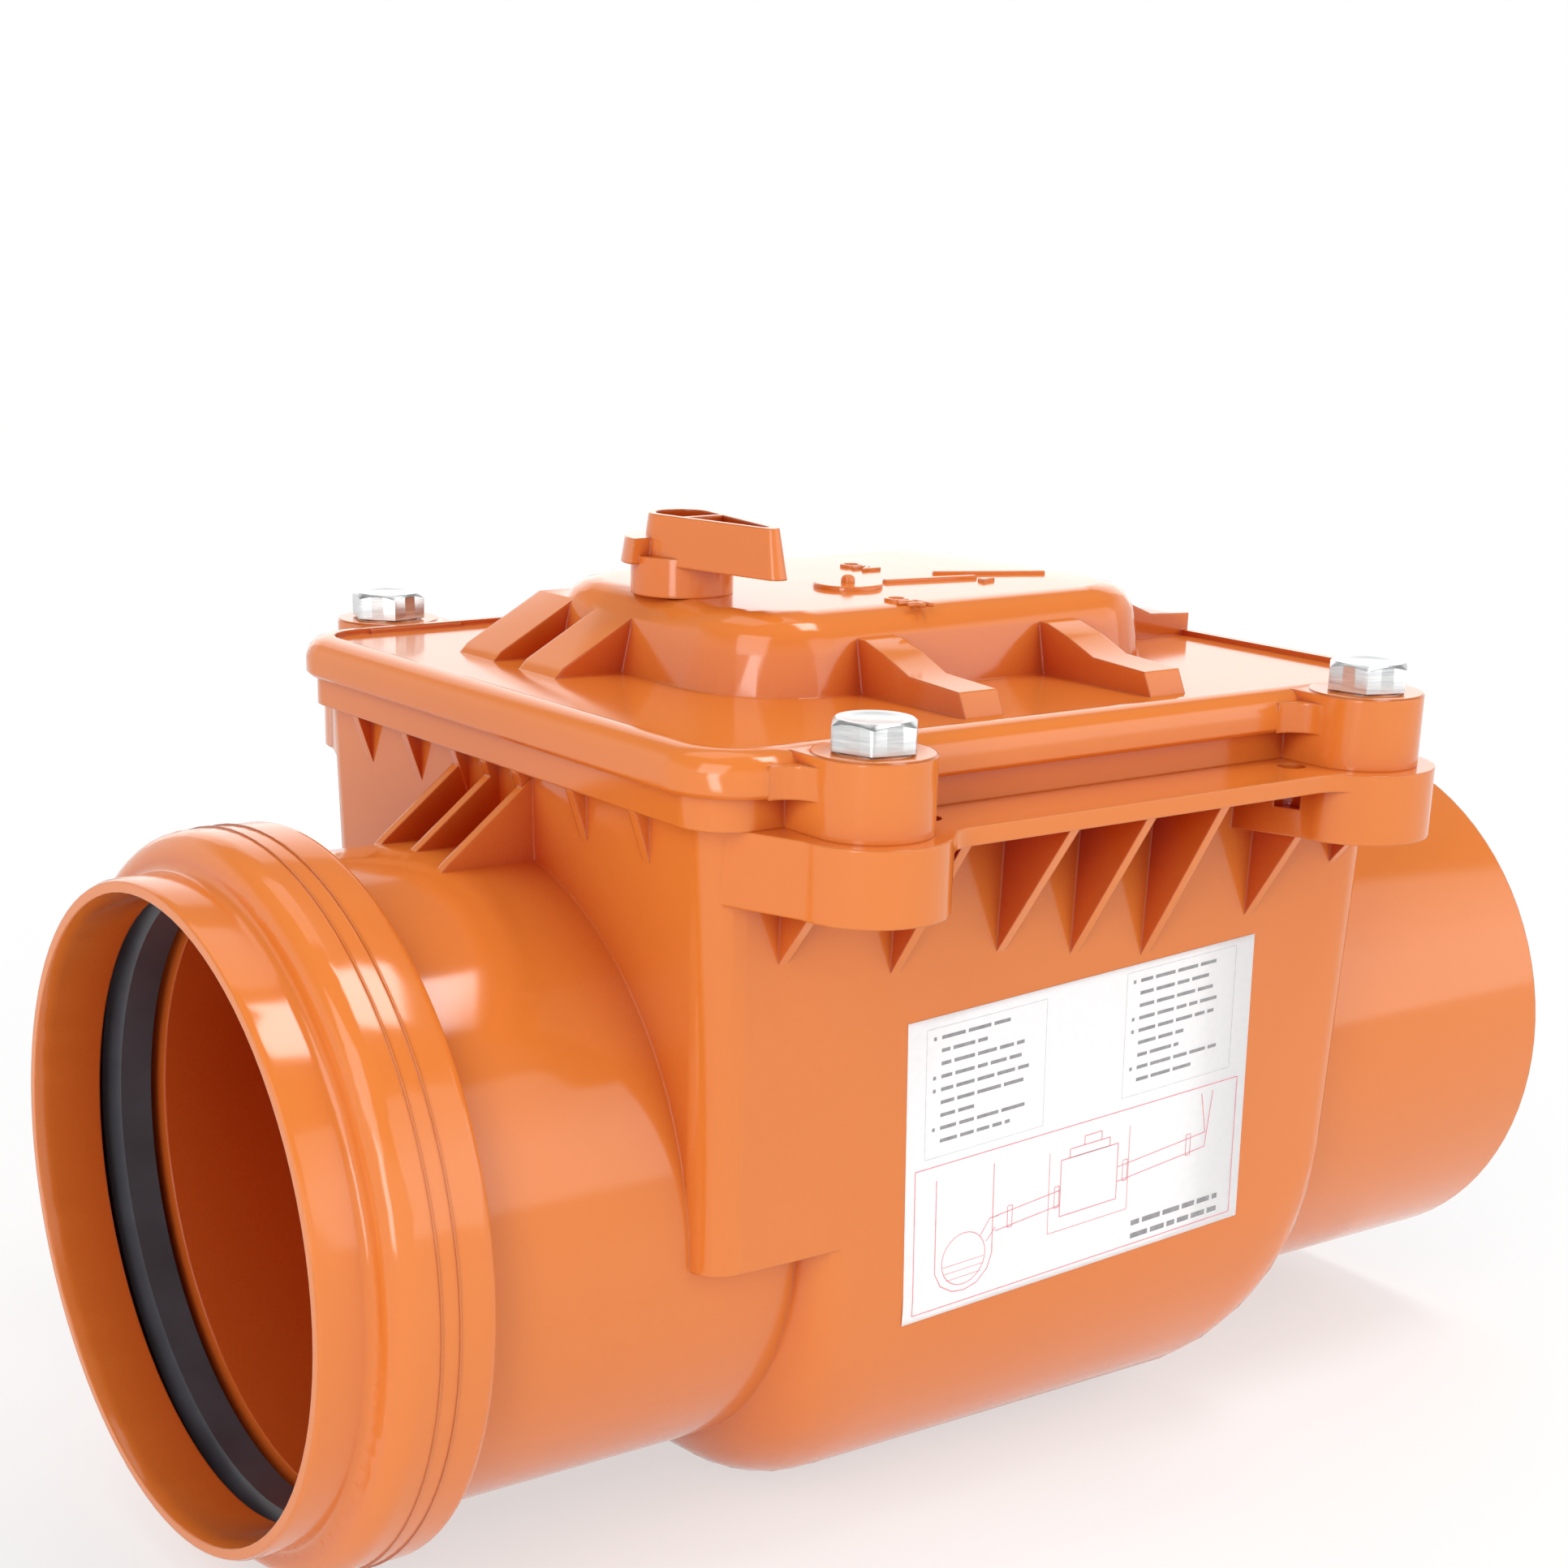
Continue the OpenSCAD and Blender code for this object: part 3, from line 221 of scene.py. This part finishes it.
def smooth_group(degrees):
    """A geometry node group that shades smooth across edges flatter than the angle."""
    g = bpy.data.node_groups.new(f"smooth_{degrees}", "GeometryNodeTree")
    g.interface.new_socket("Geometry", in_out="INPUT", socket_type="NodeSocketGeometry")
    g.interface.new_socket("Geometry", in_out="OUTPUT", socket_type="NodeSocketGeometry")
    start, end = add(g, "NodeGroupInput"), add(g, "NodeGroupOutput")
    faces = add(g, "GeometryNodeSetShadeSmooth", domain="FACE")
    edges = add(g, "GeometryNodeSetShadeSmooth", domain="EDGE")
    edges.inputs["Shade Smooth"].default_value = False
    angle = add(g, "GeometryNodeInputMeshEdgeAngle")
    test = add(g, "FunctionNodeCompare", data_type="FLOAT", operation="GREATER_THAN")
    test.inputs[1].default_value = math.radians(degrees)
    g.links.new(angle.outputs["Unsigned Angle"], test.inputs[0])
    g.links.new(test.outputs[0], edges.inputs["Selection"])
    g.links.new(start.outputs[0], faces.inputs["Geometry"])
    g.links.new(faces.outputs[0], edges.inputs["Geometry"])
    g.links.new(edges.outputs[0], end.inputs[0])
    return g


SMOOTH = smooth_group(32)
# How strongly a large face bends the shading of its corners to its own plane, of 100
FLAT_WEIGHT = 80


def dress(node, slot):
    """Welds a carried-over node's doubled corners in a modifier, shades it smooth and gives it its finish."""
    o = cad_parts[node]
    for layer in ("custom_normal", "sharp_edge", "sharp_face"):
        if layer in o.data.attributes:
            o.data.attributes.remove(o.data.attributes[layer])
    weld = o.modifiers.new("weld", "WELD")
    weld.merge_threshold = WELD
    o.modifiers.new("smooth", "NODES").node_group = SMOOTH
    flat = o.modifiers.new("flat", "WEIGHTED_NORMAL")
    flat.mode = "FACE_AREA"
    flat.weight = FLAT_WEIGHT
    flat.keep_sharp = True
    o.data.materials.clear()
    o.data.materials.append(FINISH[slot])


CARRIED = {
    "orange_plastic": ["valve_body", "cover", "handle"],
    "inner_plastic": ["hinge_block", "flap_arm", "lock_finger"],
    "red_plastic": ["flap_carrier"],
    "black_rubber": ["socket_seal", "flap_seal", "cover_gasket", "spindle_o_ring"],
    "stainless_steel": ["flap_plate", "flap_stud", "hinge_pin", "spindle_clip", "lock_screw"],
}
for slot_name, members in CARRIED.items():
    for member in members:
        dress(member, slot_name)
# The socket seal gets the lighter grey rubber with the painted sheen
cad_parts["socket_seal"].data.materials[0] = GREY_PAINTED_SHEEN_RUBBER


# Mesh helpers


def piece(name, verts, faces, material, body, slot=None, smooth=True):
    """A mesh in millimetres that rides on a body."""
    mesh = bpy.data.meshes.new(name)
    mesh.from_pydata([Vector(v) * MM for v in verts], [], faces)
    bm = bmesh.new()
    bm.from_mesh(mesh)
    bmesh.ops.recalc_face_normals(bm, faces=bm.faces)
    bm.to_mesh(mesh)
    bm.free()
    mesh.materials.append(material)
    o = bpy.data.objects.new(name, mesh)
    bpy.context.scene.collection.objects.link(o)
    if smooth:
        o.modifiers.new("smooth", "NODES").node_group = SMOOTH
    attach(o, body)
    return o


def skin(rings, closed_ends=True):
    """Vertices and faces over rings of the same number of points."""
    n = len(rings[0])
    verts = [p for ring in rings for p in ring]
    faces = [
        (j * n + i, j * n + (i + 1) % n, (j + 1) * n + (i + 1) % n, (j + 1) * n + i)
        for j in range(len(rings) - 1)
        for i in range(n)
    ]
    if closed_ends:
        faces += [tuple(range(n)), tuple(range((len(rings) - 1) * n, len(rings) * n))]
    return verts, faces


def round_points(centre, r, n):
    """Points of a circle."""
    return [
        (centre[0] + r * math.cos(a), centre[1] + r * math.sin(a))
        for a in (2 * math.pi * i / n for i in range(n))
    ]


def join(parts):
    """Several lists of vertices and faces as one."""
    verts, faces = [], []
    for v, f in parts:
        n = len(verts)
        verts += v
        faces += [tuple(i + n for i in one) for one in f]
    return verts, faces


# Bolts with chamfered hexagon heads and rolled threads

BOLT_AF, HEAD_H, SHANK_R = 19.0, 7.5, 5.9
HEAD_FLAT = BOLT_AF * 0.47
HEAD_SIDE = math.radians(60)
BOLT_SIDES = 120
# How far each head is turned, by its place
HEAD_TURN = {(-1, -1): 19.5, (1, -1): 11.6, (-1, 1): 42.4, (1, 1): 33.0}
# One turn of the thread: share of the pitch and radius
PITCH = 1.75
CREST, ROOT = 5.98, 5.15
THREAD = ((0, CREST), (0.12, CREST), (0.45, ROOT), (0.55, ROOT), (0.88, CREST))
THREAD_DROP, TIP_H, TIP_R, END_R = 1.2, 1.4, 5.6, 4.9
# The dish in the head's top, and a ring so small that it closes an end
DISH_H, DISH_IN, DISH_OUT = 0.25, HEAD_FLAT * 0.62, HEAD_FLAT * 0.72
POINT = 0.02


def bolt_axis(index):
    """The bolt's box and the X and Y of its axis."""
    low, high = (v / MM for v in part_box(f"cover_bolt_{index}"))
    return low, high, (low.x + high.x) / 2, (low.y + high.y) / 2


def bolt(index, body):
    """A bolt in place of the plain one, from the dished top of its head to its chamfered tip."""
    low, high, cx, cy = bolt_axis(index)
    turned = math.radians(HEAD_TURN[round(math.copysign(1, cx)), round(math.copysign(1, cy))])
    top, seat, tip = high.z, high.z - HEAD_H, low.z
    angles = [2 * math.pi * i / BOLT_SIDES for i in range(BOLT_SIDES)]

    def hexagon(a):
        """Radius of the head at angle a."""
        return BOLT_AF / 2 / math.cos((a - turned + HEAD_SIDE / 2) % HEAD_SIDE - HEAD_SIDE / 2)

    def ring(radius, height):
        return [(cx + radius(a) * math.cos(a), cy + radius(a) * math.sin(a), height(a)) for a in angles]

    def level(r, z):
        return ring(lambda a: r, lambda a: z)

    def coil(r, z):
        return ring(lambda a: r, lambda a: z + PITCH * a / (2 * math.pi))

    rings = [
        level(POINT, top - DISH_H),
        level(DISH_IN, top - DISH_H),
        level(DISH_OUT, top),
        level(HEAD_FLAT, top),
        ring(lambda a: hexagon(a) - 0.12, lambda a: top - 0.06 - (hexagon(a) - HEAD_FLAT) * 0.58),
        ring(hexagon, lambda a: top - 0.22 - (hexagon(a) - HEAD_FLAT) * 0.62),
        ring(hexagon, lambda a: seat + 0.55),
        ring(lambda a: hexagon(a) - 0.3, lambda a: seat + 0.4),
        level(HEAD_FLAT, seat + 0.38),
        level(BOLT_AF * 0.465, seat),
        level(SHANK_R, seat),
    ]
    z = seat - THREAD_DROP
    while z - PITCH > tip + TIP_H + 0.2:
        rings += [coil(r, z - step * PITCH) for step, r in THREAD]
        z -= PITCH
    rings += [level(TIP_R, tip + TIP_H), level(END_R, tip), level(POINT, tip)]
    o = piece(f"bolt_{index}_dressed", *skin(rings), FINISH["zinc_steel"], body, "zinc_steel")
    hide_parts(f"cover_bolt_{index}")


for k in (1, 2, 3, 4):
    bolt(k, f"bolt_{k}")


# Brass inserts with a chamfered, threaded bore

INSERT_R, BORE_CREST, BORE_ROOT, BORE_MOUTH, BORE_CHAMFER = 8.44, 6.15, 6.75, 7.0, 0.85
INSERT_SIDES = 48


def insert(index):
    """Vertices and faces of one insert under its bolt."""
    _, _, cx, cy = bolt_axis(index)
    bottom, top = (v.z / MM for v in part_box("threaded_inserts"))
    z = top - BORE_CHAMFER
    profile = [
        (BORE_CREST, bottom), (INSERT_R, bottom), (INSERT_R, top), (BORE_MOUTH, top), (BORE_CREST, z),
    ]
    while z - PITCH > bottom + 0.5:
        profile += [
            (BORE_CREST, z - 0.1), (BORE_ROOT, z - 0.8), (BORE_ROOT, z - 1.0), (BORE_CREST, z - PITCH),
        ]
        z -= PITCH
    profile.append(profile[0])
    rings = [[(x, y, z) for x, y in round_points((cx, cy), r, INSERT_SIDES)] for r, z in profile]
    return skin(rings, closed_ends=False)


four = join([insert(k) for k in (1, 2, 3, 4)])
inserts = piece("inserts_dressed", *four, FINISH["brass"], "body", "brass")
seam = inserts.modifiers.new("weld", "WELD")
seam.merge_threshold = WELD
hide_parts("threaded_inserts")


# Signs on the dome: a pivot disc with its pin, two bars, a pointer and the two words of a switch

# A sign starts a little below the dome's top and stands above it
DOME_TOP = 239.0
SIGN_FOOT = DOME_TOP - 0.3
SIGN_TOP = DOME_TOP + 0.9
BAR_W = 1.7
PIVOT = (-5.0, -6.0)


def slab(outline, z0, z1, inset=0.25):
    """A low raised shape with drafted sides over an outline given anticlockwise."""
    cx = sum(p[0] for p in outline) / len(outline)
    cy = sum(p[1] for p in outline) / len(outline)

    def shrunk(d):
        out = []
        for x, y in outline:
            r = math.hypot(x - cx, y - cy)
            out.append((x - (x - cx) / r * d, y - (y - cy) / r * d))
        return out

    return skin([
        [(x, y, z0) for x, y in outline],
        [(x, y, z1 - inset) for x, y in shrunk(inset * 0.4)],
        [(x, y, z1) for x, y in shrunk(inset * 1.3)],
    ])


def bar(p, q):
    """Outline of a straight bar between two points."""
    d = Vector((q[0] - p[0], q[1] - p[1])).normalized() * BAR_W / 2
    return [
        (p[0] + d.y, p[1] - d.x),
        (q[0] + d.y, q[1] - d.x),
        (q[0] - d.y, q[1] + d.x),
        (p[0] - d.y, p[1] + d.x),
    ]


def sign(name, verts, faces):
    piece(name, verts, faces, FINISH["orange_plastic"], "cover", "orange_plastic")


sign("sign_disc", *slab(round_points(PIVOT, 9.4, 64), SIGN_FOOT, DOME_TOP + 1.2))
pin_rings = [
    [(x, y, DOME_TOP + h) for x, y in round_points(PIVOT, r, 24)]
    for r, h in ((1.9, 1.0), (1.9, 2.1), (1.6, 2.8), (1.0, 3.2), (0.05, 3.3))
]
sign("sign_pin", *skin(pin_rings))
sign("sign_bar_open", *slab(bar((8.5, -4.5), (37, -9.2)), SIGN_FOOT, SIGN_TOP))
sign("sign_bar_shut", *slab(bar((31.8, 3.0), (61, -10.5)), SIGN_FOOT, SIGN_TOP))
sign("sign_pointer", *slab([(33, -17.2), (38.4, -15.6), (33.6, -14.0)], SIGN_FOOT, SIGN_TOP))
WORD_SIZE = 8.5


def word(name, text, at):
    """A raised word that is read from the inlet end."""
    curve = bpy.data.curves.new(name, "FONT")
    curve.body = text
    curve.size = WORD_SIZE * MM
    curve.align_x = curve.align_y = "CENTER"
    curve.extrude = 0.45 * MM
    curve.bevel_depth = 0.1 * MM
    curve.bevel_resolution = 1
    temp = bpy.data.objects.new(name + "_curve", curve)
    bpy.context.scene.collection.objects.link(temp)
    bpy.context.view_layer.update()
    mesh = bpy.data.meshes.new_from_object(temp.evaluated_get(bpy.context.evaluated_depsgraph_get()))
    bpy.data.objects.remove(temp)
    place = Matrix.Translation((at[0] * MM, at[1] * MM, (DOME_TOP + 0.2) * MM))
    mesh.transform(place @ Matrix.Rotation(-math.pi / 2, 4, "Z"))
    mesh.materials.clear()
    mesh.materials.append(FINISH["orange_plastic"])
    o = bpy.data.objects.new(name, mesh)
    bpy.context.scene.collection.objects.link(o)
    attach(o, "cover")


word("sign_on", "ON", (21, 23))
word("sign_off", "OFF", (-10.5, -37))


# Label on the side wall: a white sheet with plain bars in place of text and a simple drawing of a pipe run

LABEL_AT = (10.5, 109.3)
LABEL_TURN = math.radians(3.2)
LABEL_W, LABEL_H = 118.0, 82.0
# Heights of the sheet's face and of the ink over the wall, and the sheet's thickness
SHEET_LIFT, INK_LIFT, SHEET_T = 0.16, 0.19, 0.12
# The side wall in the CAD source: rim, half width there, draft and radius of the trough
RIM_Z, SIDE_Y, DRAFT, TROUGH_R = 212.0, 96.0, math.radians(1.5), 76.0


def wall_y(z):
    """The side wall's Y at a height, on its flat part or on the trough below."""
    turn_z = TROUGH_R - TROUGH_R * math.sin(DRAFT)
    y = SIDE_Y - (RIM_Z - z) * math.tan(DRAFT)
    if z < turn_z:
        mid = SIDE_Y - (TROUGH_R + (RIM_Z - TROUGH_R) * math.sin(DRAFT)) / math.cos(DRAFT)
        y = mid + math.sqrt(TROUGH_R ** 2 - (TROUGH_R - z) ** 2)
    return -y


def on_wall(u, v, lift):
    """A point of the label, counted from its lower left corner, lifted off the wall."""
    u, v = u - LABEL_W / 2, v - LABEL_H / 2
    x = LABEL_AT[0] + u * math.cos(LABEL_TURN) - v * math.sin(LABEL_TURN)
    z = LABEL_AT[1] + u * math.sin(LABEL_TURN) + v * math.cos(LABEL_TURN)
    return (x, wall_y(z) - lift, z)


def sheet_mesh(nu, nv):
    """The whole label as a grid that follows the wall."""
    verts = [
        on_wall(LABEL_W * i / nu, LABEL_H * j / nv, SHEET_LIFT)
        for j in range(nv + 1)
        for i in range(nu + 1)
    ]
    faces = [
        (j * (nu + 1) + i, j * (nu + 1) + i + 1, (j + 1) * (nu + 1) + i + 1, (j + 1) * (nu + 1) + i)
        for j in range(nv)
        for i in range(nu)
    ]
    return verts, faces


paper = piece("label_sheet", *sheet_mesh(4, 40), PAPER, "body")
thick = paper.modifiers.new("thick", "SOLIDIFY")
thick.thickness = SHEET_T * MM
thick.offset = -1.0


def line(p, q, w):
    """A printed line between two points of the label."""
    d = Vector((q[0] - p[0], q[1] - p[1]))
    side = Vector((-d.y, d.x)).normalized() * w / 2
    n = max(1, int(d.length / 4))
    verts, faces = [], []
    for i in range(n + 1):
        c = Vector(p) + d * i / n
        verts += [
            on_wall(c.x + side.x, c.y + side.y, INK_LIFT),
            on_wall(c.x - side.x, c.y - side.y, INK_LIFT),
        ]
    for i in range(n):
        faces.append((2 * i, 2 * i + 1, 2 * i + 3, 2 * i + 2))
    return verts, faces


def path(points, w, closed=False):
    """Printed lines from point to point."""
    ends = list(points) + ([points[0]] if closed else [])
    return [line(a, b, w) for a, b in zip(ends, ends[1:])]


def box(u0, v0, u1, v1, w):
    """A printed frame."""
    return path([(u0, v0), (u1, v0), (u1, v1), (u0, v1)], w, True)


# A bar's shortest length, how much longer it may be, and the gap after it
BAR_MIN, BAR_MORE, BAR_GAP = 2.6, 5.2, 1.0


def words(u, v, length, height):
    """A row of short bars, as text looks from too far off to be read."""
    row, at, k = [], 0.0, int(u * 7 + v * 11)
    while at < length - 1.5:
        k = (k * 37 + 11) % 101
        w = min(BAR_MIN + BAR_MORE * k / 101, length - at)
        row.append(line((u + at, v), (u + at + w, v), height))
        at += w + BAR_GAP
    return row


# Widths of the printed lines
FRAME_W, PALE_W, PIPE_W, PIT_W, BASIN_W, WATER_W, JOINT_W = 0.3, 0.16, 0.28, 0.22, 0.26, 0.18, 0.24

# Two columns of small print, each in a pale frame, and two larger rows
grey, pale = [], []
ROW_STEP, ROW_H, BIG_ROW_H = 3.45, 0.95, 1.5
for u0, top, lengths in (
    (7.5, 78.5, (27, 18, 33, 32, 37, 35, 14, 36, 28)),
    (74, 79.5, (33, 30, 32, 34, 33, 22, 18, 36, 24)),
):
    for i, length in enumerate(lengths):
        v = top - 2.2 - i * ROW_STEP
        grey += words(u0 + 3.2, v, length * 0.82, ROW_H)
        if i in (0, 3, 4, 7):
            grey.append(line((u0 + 0.6, v), (u0 + 1.5, v), ROW_H))
    pale += box(u0 - 1.6, top - 34, u0 + 37.5, top + 0.6, PALE_W)
for v in (8.2, 4.4):
    grey += words(78, v, 32, BIG_ROW_H)

# The drawing: a frame, the pipe on both sides of the valve, the valve and a shaft with a basin
red = box(3, 2, 115, 42, FRAME_W)
pipe = 2.1
for s in (-1, 1):
    red += path([(30, 21 + s * pipe), (52, 22.5 + s * pipe)], PIPE_W)
    red += path([(72, 24 + s * pipe), (104, 26.3 + s * pipe), (104 - s * pipe, 40)], PIPE_W)
red += box(52, 17, 72, 33, FRAME_W)
red += box(55, 33, 69, 35.5, FRAME_W)
red += path([(60, 35.5), (60, 38), (66, 38), (66, 35.5)], PIPE_W)
for pit in ([(48, 13), (48, 36)], [(76, 13), (76, 37)], [(48, 13), (76, 13)]):
    red += path(pit, PIT_W)
shaft = [(10, 38), (10, 12), (12, 8), (16, 5.5), (20, 5), (24, 6), (27.5, 9), (29, 13), (29, 38)]
red += path(shaft, FRAME_W)
basin = (19.5, 14)
red += path(round_points(basin, 7.2, 28), BASIN_W, True)
for k, half in enumerate((6.9, 6.6, 5.6)):
    red += path([(basin[0] - half, 13 - 2 * k), (basin[0] + half, 13 - 2 * k)], WATER_W)
red += path([(25, 19), (28, 23), (31, 23)], PIPE_W) + path([(27, 16.8), (30, 20)], PIPE_W)
for u in (34, 50, 74, 97):
    red += box(u, 18.5 + (u - 30) * 0.07, u + 1.6, 24.5 + (u - 30) * 0.07, JOINT_W)
for name, parts, ink in (
    ("label_text", grey, INK_GREY),
    ("label_frames", pale, INK_PALE),
    ("label_drawing", red, INK_RED),
):
    piece(name, *join(parts), ink, "body", smooth=False)


# Floor, light and camera

WHITE = (1, 1, 1, 1)
FLOOR_HALF, FLOOR_DROP = 9.0, 0.0002
SKY_STRENGTH = 0.55


def seen_rays(t):
    """1 where the camera looks, directly or by way of gloss or glass."""
    path_kind = add(t, "ShaderNodeLightPath")
    out = path_kind.outputs["Is Camera Ray"]
    for kind in ("Is Glossy Ray", "Is Transmission Ray"):
        either = add(t, "ShaderNodeMath", operation="MAXIMUM")
        t.links.new(out, either.inputs[0])
        t.links.new(path_kind.outputs[kind], either.inputs[1])
        out = either.outputs[0]
    return out


floor_m, floor_t, floor_s = tree_of("floor")
mottle = ramp(floor_t, noise(floor_t, 3, 2), [(0.4, (0.93, 0.93, 0.93)), (0.6, (0.95, 0.95, 0.95))])
floor_t.links.new(mottle, floor_s.inputs["Base Color"])
floor_s.inputs["Roughness"].default_value = 0.9
floor_s.inputs["Specular IOR Level"].default_value = 0.0
glow = add(floor_t, "ShaderNodeEmission")
glow.inputs["Color"].default_value = WHITE
glow.inputs["Strength"].default_value = 1.0
lifted = add(floor_t, "ShaderNodeMixShader")
# Near the object the floor keeps its shadow, further off it is the white background
reach = add(floor_t, "ShaderNodeVectorMath", operation="LENGTH")
floor_t.links.new(add(floor_t, "ShaderNodeTexCoord").outputs["Object"], reach.inputs[0])
fade = add(floor_t, "ShaderNodeMapRange", interpolation_type="SMOOTHSTEP")
for socket, value in (("From Min", 0.25), ("From Max", 0.75), ("To Min", 0.6), ("To Max", 1.0)):
    fade.inputs[socket].default_value = value
floor_t.links.new(reach.outputs["Value"], fade.inputs["Value"])
share = add(floor_t, "ShaderNodeMath", operation="MULTIPLY")
floor_t.links.new(fade.outputs["Result"], share.inputs[0])
floor_t.links.new(seen_rays(floor_t), share.inputs[1])
floor_t.links.new(share.outputs[0], lifted.inputs["Fac"])
floor_t.links.new(floor_s.outputs[0], lifted.inputs[1])
floor_t.links.new(glow.outputs[0], lifted.inputs[2])
floor_t.links.new(lifted.outputs[0], floor_t.nodes["Material Output"].inputs["Surface"])
floor_mesh = bpy.data.meshes.new("floor")
corners = [(x * FLOOR_HALF, y * FLOOR_HALF, 0) for x, y in ((-1, -1), (1, -1), (1, 1), (-1, 1))]
floor_mesh.from_pydata(corners, [], [(0, 1, 2, 3)])
floor_mesh.materials.append(floor_m)
floor = bpy.data.objects.new("floor", floor_mesh)
bpy.context.scene.collection.objects.link(floor)
floor.location.z = -FLOOR_DROP

world = bpy.data.worlds.new("studio")
bpy.context.scene.world = world
world.use_nodes = True
wt = world.node_tree
sky = wt.nodes["Background"]
sky.inputs["Color"].default_value = WHITE
sky.inputs["Strength"].default_value = SKY_STRENGTH
white = add(wt, "ShaderNodeBackground")
white.inputs["Strength"].default_value = 1.0
# What the camera and the gloss see is white near the horizon and grey overhead
toward = add(wt, "ShaderNodeSeparateXYZ")
wt.links.new(add(wt, "ShaderNodeTexCoord").outputs["Generated"], toward.inputs[0])
backdrop = ramp(wt, toward.outputs["Z"], [(0.34, (1, 1, 1)), (0.56, (0.24, 0.24, 0.24))])
wt.links.new(backdrop, white.inputs["Color"])
mixed = add(wt, "ShaderNodeMixShader")
wt.links.new(seen_rays(wt), mixed.inputs["Fac"])
wt.links.new(sky.outputs[0], mixed.inputs[1])
wt.links.new(white.outputs[0], mixed.inputs[2])
wt.links.new(mixed.outputs[0], wt.nodes["World Output"].inputs["Surface"])


def softbox(name, at, aim, size, power):
    """A rectangular lamp aimed at a point, unseen by the camera."""
    light = bpy.data.lights.new(name, "AREA")
    light.shape = "RECTANGLE"
    light.size, light.size_y = size
    light.energy = power
    o = bpy.data.objects.new(name, light)
    bpy.context.scene.collection.objects.link(o)
    o.location = at
    o.rotation_euler = (Vector(aim) - Vector(at)).to_track_quat("-Z", "Y").to_euler()
    o.visible_camera = False


softbox("window", (0.37, -0.35, 1.4), (0.37, -0.35, 0), (0.36, 0.5), 5)
softbox("front", (0.9, -1.15, 0.72), (-0.1, 0, 0.12), (1.6, 1.1), 6.4)
softbox("upper", (0.0, 0.45, 1.5), (0, 0.3, 0), (0.9, 0.8), 2.5)
softbox("left", (-1.15, -0.6, 1.0), (0, 0, 0.12), (0.9, 0.9), 6.5)
softbox("back", (0.98, 1.5, 0.8), (0, 0, 0.2), (2.4, 1.3), 7)
softbox("strip", (-1.25, -0.82, 0.32), (0, 0, 0.12), (0.35, 0.6), 3.8)

# The photograph's camera: place in metres, angles in radians, focal length and centre in pixels
CAMERA_AT = (-0.447703, -0.569003, 0.335585)
YAW, PITCH_DOWN, ROLL = 0.973, -0.318, -0.016
FOCAL, CENTRE, SIZE = 3262.12, (809.10, 1325.06), 1932
SENSOR = 36
level_part = math.cos(PITCH_DOWN)
ahead = Vector((math.cos(YAW) * level_part, math.sin(YAW) * level_part, math.sin(PITCH_DOWN)))
right = ahead.cross(Vector((0, 0, 1))).normalized()
down = ahead.cross(right)
c, s = math.cos(ROLL), math.sin(ROLL)
right, down = right * c + down * s, down * c - right * s
camera = bpy.data.cameras.new("camera")
camera.sensor_width = SENSOR
camera.lens = FOCAL / SIZE * SENSOR
camera.shift_x = (SIZE / 2 - CENTRE[0]) / SIZE
camera.shift_y = (CENTRE[1] - SIZE / 2) / SIZE
camera.clip_start = 0.01
cam = bpy.data.objects.new("camera", camera)
bpy.context.scene.collection.objects.link(cam)
turn = Matrix((right, -down, -ahead)).transposed().to_4x4()
cam.matrix_world = Matrix.Translation(CAMERA_AT) @ turn
bpy.context.scene.camera = cam
bpy.context.scene.view_settings.view_transform = "Standard"
